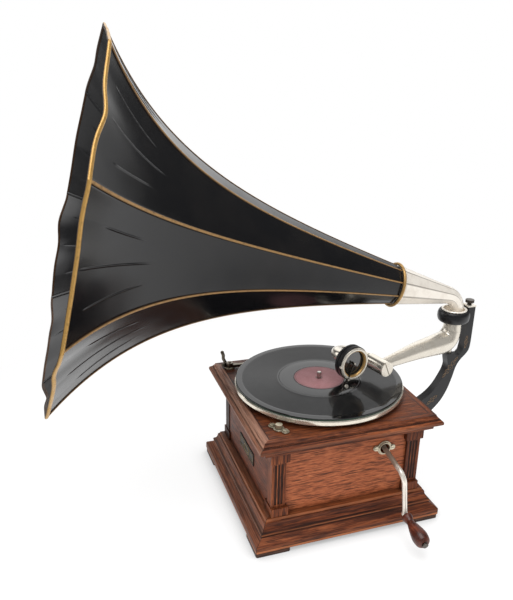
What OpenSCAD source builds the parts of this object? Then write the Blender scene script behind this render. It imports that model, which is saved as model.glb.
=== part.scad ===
/* [Case] */
// Width of the square cornice lip, mm
lip_w = 273; // [269:1:277]
// Width of the square plinth at the floor
plinth_w = 284; // [280:1:290]
// Width of the square box inside the pilasters
box_w = 224; // [222:1:226]
// Height of the top board above the floor
deck_h = 170.2; // [168:0.2:173]
// Thickness of the box boards
wall_t = 10; // [8:0.5:11]
// Height of the corner feet
foot_h = 6; // [4:0.5:7]

/* [Turntable] */
// Radius of the disc record
record_r = 125; // [118:0.5:128]
// Radius of the record label
label_r = 38.5; // [36:0.5:40]
// Radius of the spindle's free end
pin_r = 3.5; // [3.4:0.02:3.54]

/* [Tone arm] */
// Distance from the spindle back to the swivel ring axis
ring_y = 226; // [224:0.5:228]
// Outer radius of the swivel ring
ring_r = 25.4; // [24.5:0.1:26]
// Angle of the tone arm from straight ahead, as stored
arm_turn = 13.9; // [12.5:0.1:16]
// Bore radius of the cross sleeve
sleeve_r = 8.05; // [7.8:0.05:8.2]

/* [Horn] */
// Radius of the horn mouth at the seams
mouth_r = 242; // [225:1:250]
// Radius of the horn at its throat ring
throat_r = 28.5; // [27.5:0.25:31]
// Length of the panels along the horn axis
horn_len = 465; // [445:1:475]
// Upward tilt of the horn axis, degrees
horn_tilt = 14; // [13:0.25:16]
// Swivel of the horn from straight ahead, as stored
horn_turn = -2.5; // [-6:0.5:6]
// Thickness of the horn sheet
sheet_t = 1; // [0.8:0.1:1.3]

/* [Crank] */
// Downward tilt of the winding shaft, degrees
crank_tilt = 10; // [9:0.25:11]
// Throw of the crank arm
crank_arm = 76; // [70:1:80]
// Length of the turned grip
grip_len = 55; // [50:1:62]
// Radius of the crank rod
rod_r = 3.6; // [3.2:0.1:3.8]

/* [Hidden] */
$fn = 48;
g = 0.1;
run = 0.06;
hl = lip_w / 2;
hp = plinth_w / 2;
hb = box_w / 2;
inn = hb - wall_t;
plinth_out = hp - hb;
foot_y = hb + 6 - ring_y;
wall_top = deck_h - 23.3;
board_z = deck_h - 5.3;
plate_z = board_z - 4.1;
rec_z = deck_h + 16.6;
table_r = record_r + 1.5;
lip_z = deck_h - 8.8;
plinth_z = 45;
low_z = 44;
shank_r = pin_r + 0.15;
lower_r = 4;

arbor = [50, 57];
crank_in = hb + 1;
crank_z = deck_h - 49.2;
crank_l = 61;
crank_phi = 12;
crank_x = arbor[0] + 22;
crank_zx = crank_z + (crank_in - crank_x) * tan(crank_tilt);
mod = 1.5;
n_pin = 10;
n_wheel = 32;
n_barrel = 50;
d_ab = norm(arbor);
d_bi = (n_barrel + n_pin) * mod / 2 + 0.4;
d_is = (n_wheel + n_pin) * mod / 2 + 0.4;
a_ab = atan2(arbor[1], arbor[0]);
a_is = a_ab - acos((d_is * d_is + d_ab * d_ab - d_bi * d_bi) / (2 * d_is * d_ab));
inter = [d_is * cos(a_is), d_is * sin(a_is)];
a_ib = atan2(arbor[1] - inter[1], arbor[0] - inter[0]);
gov_y = -(n_wheel * mod / 2 + 6);
gov_z = plate_z - 42.8;
peg_top = crank_zx - 6.3;
disc_z = crank_zx - 16;
barrel_top = disc_z - 13.2;
pad_z0 = deck_h - 106.2;
pad_z1 = pad_z0 + 50;

ring_bore = ring_r - 7.7;
ring_z0 = deck_h + 85;
ring_z1 = ring_z0 + 18;
sleeve_f = 147.5;
sleeve_z = deck_h + 40.8;
box_f = 199.7;
box_z = deck_h + 57;
neck_a = atan2(box_z - sleeve_z, box_f - sleeve_f);
neck_d = norm([box_z - sleeve_z, box_f - sleeve_f]);
needle_a = 28.4;

el_ecc = 3.7;
el_rb = 26.5;
el_len = 95;
el_end = 10;
el_mid = 14;
el_top = throat_r + 1.4;
el_z = ring_z1;
el_th = 90 - horn_tilt;
throat_f = el_rb - el_ecc - el_rb * cos(el_th) + el_len * sin(el_th);
throat_z = el_z + el_rb * sin(el_th) + el_len * cos(el_th);
panels = 9;
seam_0 = 21.9;
span = 360 / panels;
flare_m = 105;
flare_k = 0.15;
flare_e = (mouth_r - throat_r - flare_k * horn_len) / (exp(horn_len / flare_m) - 1);

function flat(l) = [for (a = l, b = a) b];
function tri(q) = [[q[0], q[1], q[2]], [q[0], q[2], q[3]]];
function cat(a, b, c, d, t) = 0.5 * (2 * b + (c - a) * t
    + (2 * a - 5 * b + 4 * c - d) * t * t + (3 * b - a - 3 * c + d) * t * t * t);
// Smooth open curve through the points p, n steps a span
function curve(p, n = 5) = [for (i = [0:len(p) - 2], k = [0:n - 1])
    cat(p[max(i - 1, 0)], p[i], p[i + 1], p[min(i + 2, len(p) - 1)], k / n), p[len(p) - 1]];
function flare(s) = throat_r + flare_k * s + flare_e * (exp(s / flare_m) - 1);
// Angle from the middle of a panel
function off_mid(a) = abs(((a - seam_0 + 3600) % span) - span / 2);
function facet(a, p) = 1 - p + p * cos(span / 2) / cos(off_mid(a));
function horn_r(s, a) = flare(s) * facet(a, 0.45 + 0.5 * s / horn_len);
function polar(r, a, z) = [r * cos(a), r * sin(a), z];

// Square moulding turned about Z from half-width profile points
module square_ring(p) {
    rotate([0, 0, 45])
        rotate_extrude($fn = 4)
            polygon([for (q = p) [q[0] * sqrt(2), q[1]]]);
}

module rod(p, r, h) {
    translate(p)
        cylinder(r = r, h = h);
}

module x_rod(p, r, h) {
    translate(p)
        rotate([0, 90, 0])
            cylinder(r = r, h = h);
}

module box(a, b) {
    translate(a)
        cube(b - a);
}

module gear(n, h, ph) {
    r = n * mod / 2;
    st = 360 / n;
    rotate([0, 0, ph])
        linear_extrude(h)
            polygon(flat([for (i = [0:n - 1]) [
                polar(r - 1.2 * mod, i * st - 0.27 * st, 0),
                polar(r + 0.8 * mod, i * st - 0.09 * st, 0),
                polar(r + 0.8 * mod, i * st + 0.09 * st, 0),
                polar(r - 1.2 * mod, i * st + 0.27 * st, 0)]])
                * [[1, 0], [0, 1], [0, 0]]);
}

// Curved sheet between two grids of points, rows along the sheet
module sheet(o, i) {
    m = len(o);
    n = len(o[0]);
    k = m * n;
    polyhedron(concat(flat(o), flat(i)), flat(concat(
        [for (j = [0:m - 2], c = [0:n - 2]) tri([j * n + c, (j + 1) * n + c,
            (j + 1) * n + c + 1, j * n + c + 1])],
        [for (j = [0:m - 2], c = [0:n - 2]) tri([k + j * n + c, k + j * n + c + 1,
            k + (j + 1) * n + c + 1, k + (j + 1) * n + c])],
        [for (j = [0:m - 2]) tri([j * n, k + j * n, k + (j + 1) * n, (j + 1) * n])],
        [for (j = [0:m - 2]) tri([j * n + n - 1, (j + 1) * n + n - 1,
            k + (j + 1) * n + n - 1, k + j * n + n - 1])],
        [for (c = [0:n - 2]) tri([c, c + 1, k + c + 1, k + c])],
        [for (c = [0:n - 2]) let (t = (m - 1) * n)
            tri([t + c, k + t + c, k + t + c + 1, t + c + 1])])));
}

// Open tube between two lists of closed rings
module tube(o, i) {
    m = len(o);
    n = len(o[0]);
    k = m * n;
    t = (m - 1) * n;
    polyhedron(concat(flat(o), flat(i)), flat(concat(
        [for (j = [0:m - 2], c = [0:n - 1]) let (d = (c + 1) % n)
            tri([j * n + c, (j + 1) * n + c, (j + 1) * n + d, j * n + d])],
        [for (j = [0:m - 2], c = [0:n - 1]) let (d = (c + 1) % n)
            tri([k + j * n + c, k + j * n + d, k + (j + 1) * n + d, k + (j + 1) * n + c])],
        [for (c = [0:n - 1]) let (d = (c + 1) % n) tri([c, d, k + d, k + c])],
        [for (c = [0:n - 1]) let (d = (c + 1) % n)
            tri([t + c, k + t + c, k + t + d, t + d])])));
}

// Ring of n points about a centre line point [forward, z, lean, radius, facet share]
function ring(q, n, d) = [for (c = [0:n - 1]) let (a = seam_0 + 360 * c / n,
    r = (q[3] - d) * facet(a, q[4]))
    [r * cos(a), -q[0] + r * sin(a) * cos(q[2]), q[1] + r * sin(a) * sin(q[2])]];

module at_ring(turn) {
    translate([0, ring_y, 0])
        rotate([0, 0, turn])
            children();
}

module at_horn() {
    at_ring(horn_turn)
        translate([0, -throat_f, throat_z])
            rotate([el_th, 0, 0])
                children();
}

module at_box() {
    at_ring(arm_turn)
        translate([0, -box_f, box_z])
            rotate([-needle_a, 0, 0])
                children();
}

// Turned about the sound box axis, profile [radius, along the axis]
module box_turn(p) {
    at_box()
        rotate([0, 90, 0])
            rotate_extrude()
                polygon(p);
}

module at_crank() {
    translate([crank_in, arbor[1], crank_z])
        rotate([0, crank_tilt, 0])
            children();
}

module corners() {
    for (x = [0, 1], y = [0, 1])
        mirror([x, 0, 0])
            mirror([0, y, 0])
                children();
}

module feet() {
    color([0.25, 0.12, 0.08])
        corners()
            box([hp - 50, hp - 50, 0], [hp - 0.5, hp - 0.5, foot_h]);
}

module plinth() {
    color([0.42, 0.22, 0.13])
        difference() {
            square_ring(concat([[0, foot_h + g]],
                [for (q = [[0.8, foot_h + g], [0, foot_h + 1], [0, 16.4], [0.9, 17.6],
                    [3, 18.6], [10.5, 23.5], [11, 25.6], [10, 26.6], [9.8, 28], [10.6, 29.6],
                    [12.5, 30.4], [14.6, 33], [16, 36.5], [16.8, 41], [19, 41.4],
                    [19.6, plinth_z]]) [hp - q[0] * plinth_out / 30, q[1]]],
                [[0, plinth_z]]));
            box([-hb - g, -hb - g, 0], [hb + g, hb + g, 60]);
        }
}

module bottom_board() {
    color([0.5, 0.35, 0.22])
        box([-inn + g, -inn + g, foot_h + 4], [inn - g, inn - g, foot_h + 14]);
}

module wall_x() {
    box([inn, -inn + g, foot_h + 1], [hb, inn - g, wall_top - g]);
}

module case_front() {
    color([0.45, 0.23, 0.13])
        box([-hb, -hb, foot_h + 1], [hb, -inn, wall_top - g]);
}

module case_back() {
    color([0.45, 0.23, 0.13])
        box([-hb, inn, foot_h + 1], [hb, hb, wall_top - g]);
}

module case_left() {
    color([0.45, 0.23, 0.13])
        mirror([1, 0, 0])
            wall_x();
}

module case_right() {
    color([0.47, 0.24, 0.13])
        difference() {
            wall_x();
            at_crank()
                x_rod([-30, 0, 0], 7.5, 60);
        }
}

// Corner piece that wraps the box corner: out past both faces, along each face
module wrap(ox, oy, lx, ly, z0, z1) {
    box([hb + g, hb - ly, z0], [hb + ox, hb + oy, z1]);
    box([hb - lx, hb + g, z0], [hb + ox, hb + oy, z1]);
}

module pilasters() {
    color([0.42, 0.2, 0.11])
        corners()
            difference() {
                union() {
                    wrap(4.5, 1.2, 14, 19.5, plinth_z + 5, wall_top - 8);
                    wrap(9, 2.6, 20, 22.5, plinth_z + g, plinth_z + 13);
                    wrap(8, 3.6, 18, 23.5, wall_top - 17, wall_top - g);
                }
                for (k = [-1:1])
                    translate([hb + 5.2, hb - 9.2 + 4.6 * k, plinth_z + 17])
                        cylinder(r = 1.7, h = wall_top - plinth_z - 38, $fn = 24);
            }
}

module cornice() {
    color([0.44, 0.22, 0.13])
        difference() {
            square_ring([[0, wall_top], [hl - 10, wall_top], [hl - 9.6, wall_top + 4],
                [hl - 8, wall_top + 4.6], [hl - 7.6, lip_z - 6.2], [hl - 1.2, lip_z - 5.4],
                [hl, lip_z - 4.2], [hl, lip_z - 0.9], [hl - 0.7, lip_z],
                [hl - 4.1, lip_z + 2.6], [hl - 4.5, lip_z + 2.1], [hl - 5.2, lip_z + 2.4],
                [hl - 5.4, board_z - g], [0, board_z - g]]);
            box([-inn, -inn, 0], [inn, inn, 300]);
        }
}

module motor_board() {
    color([0.44, 0.23, 0.13])
        difference() {
            square_ring([[0, board_z], [hl - 5.5, board_z], [hl - 5.3, board_z + 0.5],
                [hl - 7.6, deck_h - 2.2], [hl - 8.1, deck_h - 2.1], [hl - 8.3, deck_h],
                [0, deck_h]]);
            rod([0, 0, 100], 8, 100);
            rod([speed_p[0], speed_p[1], 100], 2.3, 100);
        }
}

module name_plate() {
    color([0.5, 0.45, 0.32])
        difference() {
            box([-34, -hb - 1.3, 73], [34, -hb - g, 93]);
            box([-32, -hb - 2, 75], [32, -hb - 0.9, 91]);
        }
}

module turntable() {
    color([0.72, 0.68, 0.6])
        rotate_extrude($fn = 96)
            polygon([[lower_r + run, deck_h + 3], [11, deck_h + 3], [11, deck_h + 10.5],
                [table_r - 5, deck_h + 10.5], [table_r - 4, deck_h + 6],
                [table_r - 1, deck_h + 5.6], [table_r, deck_h + 7], [table_r, deck_h + 11.5],
                [table_r - 1.2, deck_h + 12.8], [lower_r + run, deck_h + 12.8]]);
}

module turntable_felt() {
    color([0.1, 0.2, 0.13])
        difference() {
            rod([0, 0, deck_h + 12.9], record_r, 1.6);
            rod([0, 0, 100], shank_r + 0.5, 200);
        }
}

module spindle() {
    color([0.6, 0.58, 0.54]) {
        rotate_extrude()
            polygon([[0, low_z - 2], [lower_r, low_z - 2], [lower_r, deck_h + 12.8],
                [shank_r, deck_h + 12.9], [shank_r, rec_z + 0.2],
                [pin_r - 0.5, rec_z + 0.2], [pin_r - 0.5, rec_z + 1], [pin_r, rec_z + 1],
                [pin_r, rec_z + 8.5], [2.6, rec_z + 9.6], [0, rec_z + 10]]);
        difference() {
            rod([0, 0, 52], n_pin * mod / 2 - 1.8, 14);
            rod([0, 0, 40], lower_r + run, 40);
        }
        difference() {
            translate([0, 0, 53])
                gear(n_pin, 6, a_is);
            rod([0, 0, 40], lower_r + run, 40);
        }
        difference() {
            translate([0, 0, gov_z - 2.5])
                gear(n_wheel, 5, 0);
            rod([0, 0, 40], lower_r + run, 100);
        }
    }
}

module record() {
    color([0.05, 0.05, 0.055])
        rotate_extrude($fn = 96)
            polygon([[shank_r + run, rec_z - 2], [record_r - 0.6, rec_z - 2],
                [record_r, rec_z - 1.4], [record_r, rec_z - 0.5],
                [record_r - 0.6, rec_z], [record_r - 9, rec_z],
                [record_r - 9.4, rec_z - 0.2], [record_r * 0.5, rec_z - 0.2],
                [record_r * 0.5 - 0.4, rec_z - 0.05], [shank_r + run, rec_z - 0.05]]);
}

module record_label() {
    color([0.55, 0.38, 0.39])
        difference() {
            rod([0, 0, rec_z], label_r, 0.15);
            rod([0, 0, rec_z - 1], shank_r + run, 3);
        }
}

// Points near the brake corner: r along the diagonal, t across it
function diag(r, t) = [(-r + t) * sqrt(0.5), (-r - t) * sqrt(0.5)];
brake_p = diag(table_r + 24.5, 5);
speed_p = (table_r + 12.73) * [sqrt(0.5), -sqrt(0.5)];

module at_speed() {
    translate([speed_p[0], speed_p[1], deck_h])
        rotate([0, 0, 31.7])
            children();
}

module deck_plates() {
    color([0.62, 0.58, 0.48]) {
        at_speed()
            difference() {
                union() {
                    rod([-11.5, 0, g], 5.2, 1.6);
                    rod([11.5, 0, g], 5.2, 1.6);
                    rod([0, 0, g], 7.5, 1.6);
                    box([-11.5, -4, g], [11.5, 4, 1.6 + g]);
                }
                for (x = [-11.5, 11.5])
                    rod([x, 0, -2], 2.1, 9);
                rod([0, 0, -2], 2.06, 9);
            }
        difference() {
            union() {
                rod([brake_p[0], brake_p[1], deck_h + g], 8, 3);
                rod([brake_p[0] - 10.6, brake_p[1] - 1.4, deck_h + g], 5, 3);
            }
            rod([brake_p[0], brake_p[1], deck_h - 2], 2.06, 20);
            rod([brake_p[0] - 10.6, brake_p[1] - 1.4, deck_h - 2], 2.1, 20);
        }
    }
}

module brake_lever() {
    color([0.35, 0.32, 0.27])
        translate([brake_p[0], brake_p[1], deck_h + 3.4])
            rotate([0, 0, 225]) {
                rod([0, 0, -3.2], 2, 11);
                rod([0, 0, 0], 5.4, 6.6);
                difference() {
                    linear_extrude(4.2)
                        polygon([[5, 3], [2, 6], [-8, 1], [-17.5, -8], [-21.4, -9.5],
                            [-23.6, -13.6], [-23.6, -17], [-19.5, -17.6], [-10, -9], [1, -5], [5, -2]]);
                    rod([0, 0, -9], 1.9, 20);
                }
                translate([3, 1, 0])
                    rotate([0, -90, 180])
                        rotate([90, 0, 0])
                            linear_extrude(4, center = true)
                                polygon(concat(
                                    curve([[0, 0], [5, 6], [11, 9.8], [16.5, 10], [21, 12]], 4),
                                    curve([[22.2, 8.6], [17, 6.2], [11.5, 6.3], [6.5, 3], [2.5, -2]], 4)));
                translate([13, 1, 21.4])
                    sphere(r = 2.9, $fn = 24);
                translate([9, 3, 1])
                    difference() {
                        sphere(r = 4.2, $fn = 24);
                        box([-9, -9, -9], [9, 9, -1]);
                    }
            }
}

module speed_knob() {
    color([0.5, 0.46, 0.38])
        at_speed() {
            rod([0, 0, -4], 2, 8);
            translate([0, 0, 2.1])
                linear_extrude(5.5)
                    polygon([for (i = [0:31]) [cos(i * 11.25), sin(i * 11.25)]
                        * (i % 2 == 0 ? 5 : 4.5)]);
        }
}

module crank_escutcheon() {
    color([0.68, 0.63, 0.54])
        translate([hb + g, arbor[1], crank_z])
            rotate([90, 0, 90])
                difference() {
                    union() {
                        rod([0, 0, 0], 11, 2);
                        for (a = [-4, 176])
                            rotate([0, 0, a]) {
                                rod([13, 0, 0], 4.4, 2);
                                box([0, -4.4, 0], [13, 4.4, 2]);
                            }
                        difference() {
                            rod([0, 0, 0], 9.2, 4);
                            rod([0, 0, -1], 7.5, 8);
                        }
                    }
                    rod([0, 0, -1], 7.5, 8);
                    for (a = [-4, 176])
                        rotate([0, 0, a])
                            rod([13, 0, -1], 2.1, 8);
                }
}

module crank() {
    color([0.72, 0.69, 0.63])
        at_crank()
            rotate([crank_phi, 0, 0]) {
                reach = crank_l - 14;
                x_rod([-47, 0, 0], rod_r, 47 + reach);
                translate([reach, 0, -14])
                    rotate([90, 0, 0])
                        rotate_extrude(angle = 90)
                            translate([14, 0])
                                circle(r = rod_r, $fn = 24);
                rod([crank_l, 0, -crank_arm], rod_r, crank_arm - 14);
                translate([crank_l, 0, -crank_arm])
                    sphere(r = rod_r + 1, $fn = 32);
                x_rod([crank_l, 0, -crank_arm], 2.6, grip_len + 4);
                x_rod([crank_l + grip_len + 3.2, 0, -crank_arm], 4.2, 1.6);
                for (k = [0:7])
                    rotate([22.5 + 45 * k - crank_phi, 0, 0])
                        box([-45.4, -0.65, 0], [-40.6, 0.65, 8.4]);
            }
}

module crank_grip() {
    color([0.27, 0.1, 0.06])
        at_crank()
            rotate([crank_phi, 0, 0])
                translate([crank_l + 5, 0, -crank_arm])
                    rotate([0, 90, 0])
                        rotate_extrude()
                            polygon(concat([[2.6 + run, 0]],
                                curve([[7, 0], [7.6, 3], [6, 9], [5.6, 13], [8, 22], [10.6, 33],
                                    [11.2, 40], [9.8, 48], [6.4, 51.6]], 4)
                                    * [[1, 0], [0, (grip_len - 3) / 51.6]],
                                [[4.6, grip_len - 3], [4.6, grip_len - 5], [2.6 + run, grip_len - 5]]));
}

// Side outline of the support bracket, [y, z] from the ring axis and the floor
function out_line() = curve([[34, 277], [34, 240], [33.5, 212], [30, 200], [18, 187],
    [11.5, 175], [7, 157], [-1, 133], [-14, 112], [-40, 89], [-75, 74], [foot_y, 68]], 5);
function in_line() = curve([[foot_y, 108], [-76, 110], [-46, 122], [-24, 139], [-9, 163],
    [-4, 178], [-6, 190], [-7, 197]], 5);

module bracket() {
    color([0.06, 0.06, 0.065])
        difference() {
            union() {
                translate([-7.5, ring_y, deck_h - 170])
                    rotate([90, 0, 90])
                        linear_extrude(15)
                            polygon(concat(out_line(), in_line(), [[-7, 200], [6.5, 200],
                                [8, 196.5], [16, 196.5], [20, 201], [22, 212], [22, 277]]));
                translate([0, ring_y, 0])
                    rotate_extrude()
                        polygon(concat([[ring_bore, ring_z0 + 1], [ring_bore + 1, ring_z0]],
                            [for (t = [-75:15:75]) [ring_r - 4 + 4 * cos(t),
                                (ring_z0 + ring_z1) / 2 + 9 * sin(t)]],
                            [[ring_bore + 1, ring_z1], [ring_bore, ring_z1 - 1]]));
                box([-32, hb + g, pad_z0], [32, hb + 6, pad_z1]);
            }
            rod([0, ring_y, ring_z0 - 30], ring_bore, 60);
            rod([0, ring_y, deck_h + 19], 4 + run, 20);
            rod([0, ring_y + 27, deck_h + 94], 2.06, 30);
            box([-60, hb - 20, 0], [60, hb + g, 300]);
            for (x = [-23, 23], z = [pad_z0 + 8, pad_z1 - 8])
                translate([x, hb + 20, z])
                    rotate([90, 0, 0])
                        cylinder(r = 2.1, h = 40);
        }
}

module bracket_cap() {
    color([0.7, 0.66, 0.58])
        translate([0, ring_y, deck_h + 107.15])
            difference() {
                union() {
                    box([-8.2, 21.5, 0], [8.2, 34.6, 2.2]);
                    rod([0, 21.5, 0], 8.2, 2.2);
                }
                rod([0, 27, -3], 2.3, 9);
                rod([0, 0, -9], 20.6, 20);
            }
}

module thumb_screw() {
    color([0.25, 0.23, 0.21])
        translate([0, ring_y + 27, deck_h + 96]) {
            rod([0, 0, 0], 2, 20);
            rod([0, 0, 13.6], 3.4, 3.6);
            translate([0, 0, 17])
                linear_extrude(4.4)
                    polygon([for (i = [0:31]) [cos(i * 11.25), sin(i * 11.25)]
                        * (i % 2 == 0 ? 7 : 6.4)]);
        }
}

function arm_line() = [[143, sleeve_z + 1.4, -85, 7.9, 0], [77, deck_h + 48.6, -86, 13.6, 0],
    [27, deck_h + 50.4, -86, 17.2, 0], [14.5, deck_h + 52.2, -68, 17.4, 0],
    [6, deck_h + 57.5, -40, 16.6, 0], [1.4, ring_z0 - 18, -14, 15.2, 0],
    [0, ring_z0 - 9, 0, 14.2, 0], [0, ring_z0 + 9, 0, 14, 0]];

module tone_arm() {
    color([0.73, 0.69, 0.61])
        at_ring(arm_turn)
            difference() {
                union() {
                    tube([for (q = arm_line()) ring(q, 32, 0)],
                        [for (q = arm_line()) ring(q, 32, 1.6)]);
                    difference() {
                        rod([0, 0, ring_z0 + 0.6], ring_bore - run, 7);
                        rod([0, 0, ring_z0 - 5], 13.4, 30);
                    }
                    rod([0, 0, deck_h + 20], 4, 20.5);
                }
                x_rod([-60, -sleeve_f, sleeve_z], sleeve_r + 3.4, 120);
            }
}

module arm_sleeve() {
    color([0.72, 0.68, 0.6])
        at_ring(arm_turn)
            difference() {
                x_rod([-23, -sleeve_f, sleeve_z], sleeve_r + 3.3, 36.5);
                x_rod([-40, -sleeve_f, sleeve_z], sleeve_r, 90);
            }
}

module sleeve_cap() {
    color([0.76, 0.72, 0.65])
        at_ring(arm_turn)
            translate([13.6, -sleeve_f, sleeve_z])
                rotate([0, 90, 0])
                    difference() {
                        union() {
                            rod([0, 0, 0], sleeve_r + 3.1, 2.2);
                            rod([0, 0, -2.6], sleeve_r - 0.1, 4);
                        }
                        rotate([0, 0, 25])
                            box([-12, -0.8, 1], [12, 0.8, 5]);
                    }
}

module gooseneck() {
    r = sleeve_r - run;
    color([0.74, 0.7, 0.62])
        at_ring(arm_turn)
            translate([0, -sleeve_f, sleeve_z])
                rotate([-neck_a, 0, 0]) {
                    difference() {
                        x_rod([-28.8, 0, 0], r, 39.4);
                        x_rod([-40, 0, 0], r - 1.4, 70);
                    }
                    translate([-28.8, -neck_d / 2, 0])
                        rotate([0, 0, 90])
                            rotate_extrude(angle = 180)
                                translate([neck_d / 2, 0])
                                    difference() {
                                        circle(r = r + 0.9);
                                        circle(r = r - 1.4);
                                    }
                    difference() {
                        x_rod([-28.8, -neck_d, 0], r + 0.9, 13.5);
                        x_rod([-40, -neck_d, 0], r - 1.4, 70);
                    }
                }
}

module sound_box_rubber() {
    color([0.05, 0.05, 0.05]) {
        box_turn([[sleeve_r + 1, -19], [18.4, -19], [19.6, -17.4], [19.6, -13.6], [18.6, -12.6],
            [sleeve_r + 1, -12.6]]);
        box_turn([[18.3, -4.6], [22.3, -4.6], [22.3, -3.2], [18.3, -3.2]]);
        box_turn([[18.3, -2.6], [22.3, -2.6], [22.3, -1.2], [18.3, -1.2]]);
    }
}

module sound_box_shell() {
    color([0.07, 0.07, 0.075])
        difference() {
            box_turn([[5.4, -12.5], [24, -12.5], [25.4, -11.2], [25.4, -7.6], [24.3, -7],
                [24.3, -5.6], [25.4, -5], [25.4, 0], [24.7, 0.9], [22.4, 0.9], [22.4, -9],
                [21.5, -9.6], [5.4, -9.6]]);
            at_box()
                box([-1.5, -1.6, -40], [9, 1.6, -21.5]);
        }
}

module sound_box_ring() {
    color([0.78, 0.73, 0.66])
        difference() {
            box_turn([[20.4, 1], [24, 1], [24.4, 1.6], [24, 3.2], [22.6, 4], [20.4, 3.8]]);
            at_box()
                box([-1.5, -1.6, -40], [9, 1.6, -19]);
        }
}

module sound_box_bezel() {
    color([0.68, 0.5, 0.26])
        difference() {
            box_turn([[18, -1.1], [22.3, -1.1], [22.3, 0.8], [20.3, 0.8], [20.3, 3],
                [19, 2.6], [18, 1]]);
            at_box()
                box([-1.5, -1.6, -40], [9, 1.6, -15]);
        }
}

module diaphragm() {
    color([0.35, 0.34, 0.3])
        difference() {
            box_turn([[0, -3.1], [22.2, -3.1], [22.2, -2.7], [0, -2.7]]);
            at_box()
                x_rod([-9, 0, 0], 0.9, 20);
        }
}

module stylus_bar() {
    color([0.3, 0.29, 0.27])
        at_box() {
            x_rod([-4.4, 0, 0], 0.8, 8);
            x_rod([-4.6, 0, 0], 1.8, 1.3);
            x_rod([-2.5, 0, 0], 1.8, 1.2);
            box([0.6, -1, -30.5], [2.6, 1, 0.9]);
            box([-1.2, -1, -24.9], [2.6, 1, -22.7]);
            difference() {
                rod([1.6, 0, -38], 2.8, 9);
                rod([1.6, 0, -39], 0.8, 8);
                x_rod([1.6, 0, -34], 1.05, 10);
            }
        }
}

module needle_screw() {
    color([0.66, 0.62, 0.55])
        at_box() {
            x_rod([2.6, 0, -34], 1, 4);
            x_rod([4.7, 0, -34], 2.6, 3.2);
        }
}

module needle() {
    color([0.7, 0.69, 0.66])
        at_box()
            translate([1.6, 0, -45.6])
                rotate_extrude($fn = 16)
                    polygon([[0, 0], [0.7, 5], [0.7, 14.6], [0, 14.6]]);
}

function elbow_line() = concat([[-el_ecc, el_z + 0.4, 0, el_end, 0]],
    [for (i = [1:7]) let (t = el_th * i / 7) [el_rb - el_ecc - el_rb * cos(t),
        el_z + el_rb * sin(t), t, el_end + (el_mid - el_end) * i / 7, 0.7 * (i / 7)]],
    [for (i = [1:4]) let (k = el_len * i / 4 - (i == 4 ? 2 : 0))
        [el_rb - el_ecc - el_rb * cos(el_th) + k * sin(el_th),
        el_z + el_rb * sin(el_th) + k * cos(el_th), el_th,
        el_mid + (el_top - el_mid) * i / 4, 0.95]]);

module horn_elbow() {
    color([0.75, 0.71, 0.64]) {
        at_ring(horn_turn) {
            tube([for (q = elbow_line()) ring(q, 36, 0)], [for (q = elbow_line()) ring(q, 36, 1.5)]);
            difference() {
                union() {
                    rod([0, 0, ring_z1 + 0.3], 20, 2);
                    rod([0, 0, ring_z1 - 9], ring_bore - run, 9.6);
                }
                rod([0, 0, ring_z1 - 20], ring_bore - 3, 20);
                rod([0, el_ecc, ring_z1 - 20], el_end - 1, 60);
            }
        }
        at_horn()
            difference() {
                rod([0, 0, -4.6], throat_r + 0.9, 4);
                rod([0, 0, -9], throat_r - 3.4, 20);
            }
    }
}

module throat_ring() {
    color([0.75, 0.55, 0.25])
        at_horn()
            rotate_extrude()
                polygon([for (t = [0:30:330]) [throat_r + 3.1 + 2.3 * cos(t), 1.9 + 2.2 * sin(t)]]);
}

rows = 12;
function row_s(j) = horn_len * (1 - pow(1 - j / rows, 1.35));
function panel_pt(k, j, c, n, d) = let (s = row_s(j), e = 12 / flare(s),
    a = seam_0 + span * k + e + (span - 2 * e) * c / n) polar(horn_r(s, a) - d, a, s);

module horn_panel(k) {
    color([0.03, 0.03, 0.035])
        at_horn()
            sheet([for (j = [0:rows]) [for (c = [0:6]) panel_pt(k - 1, j, c, 6, 0)]],
                [for (j = [0:rows]) [for (c = [0:6]) panel_pt(k - 1, j, c, 6, sheet_t)]]);
}

function seam_pt(k, j, c, d) = let (s = row_s(j) + (j == 0 ? 4.4 : j == rows ? -0.4 : 0),
    a = seam_0 + span * k + c * 120 / flare(s)) polar(horn_r(s, a) + d, a, s);

module horn_seams() {
    color([0.75, 0.55, 0.28])
        at_horn()
            for (k = [0:panels - 1])
                sheet([for (j = [0:rows]) [seam_pt(k, j, -1, 0.7), seam_pt(k, j, 0, 1.3),
                    seam_pt(k, j, 1, 0.7)]],
                    [for (j = [0:rows]) [seam_pt(k, j, -1, 0.15), seam_pt(k, j, 0, 0.15),
                    seam_pt(k, j, 1, 0.15)]]);
}

module horn_rim() {
    n = 72;
    m = 6;
    r = 1.9;
    color([0.75, 0.55, 0.28])
        at_horn()
            polyhedron([for (i = [0:n - 1], c = [0:m - 1]) let (a = seam_0 + 360 * i / n,
                t = 360 * c / m) polar(horn_r(horn_len, a) - sheet_t / 2 + r * cos(t), a,
                horn_len + r + 0.15 + r * sin(t))],
                flat([for (i = [0:n - 1], c = [0:m - 1]) let (p = (i + 1) % n, q = (c + 1) % m)
                    tri([i * m + c, i * m + q, p * m + q, p * m + c])]));
}

pillars = [[12 - inn, -58], [12 - inn, inn - 14], [inn - 8, -58], [inn - 10, inn - 6]];

module motor_plate() {
    color([0.3, 0.3, 0.31])
        difference() {
            box([4 - inn, -66, plate_z], [inn - 2, inn - 1, board_z - g]);
            rod([0, 0, 100], lower_r + run, 100);
            rod([arbor[0], arbor[1], 100], 4 + run, 100);
            rod([inter[0], inter[1], 100], 3 + run, 100);
        }
}

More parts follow.
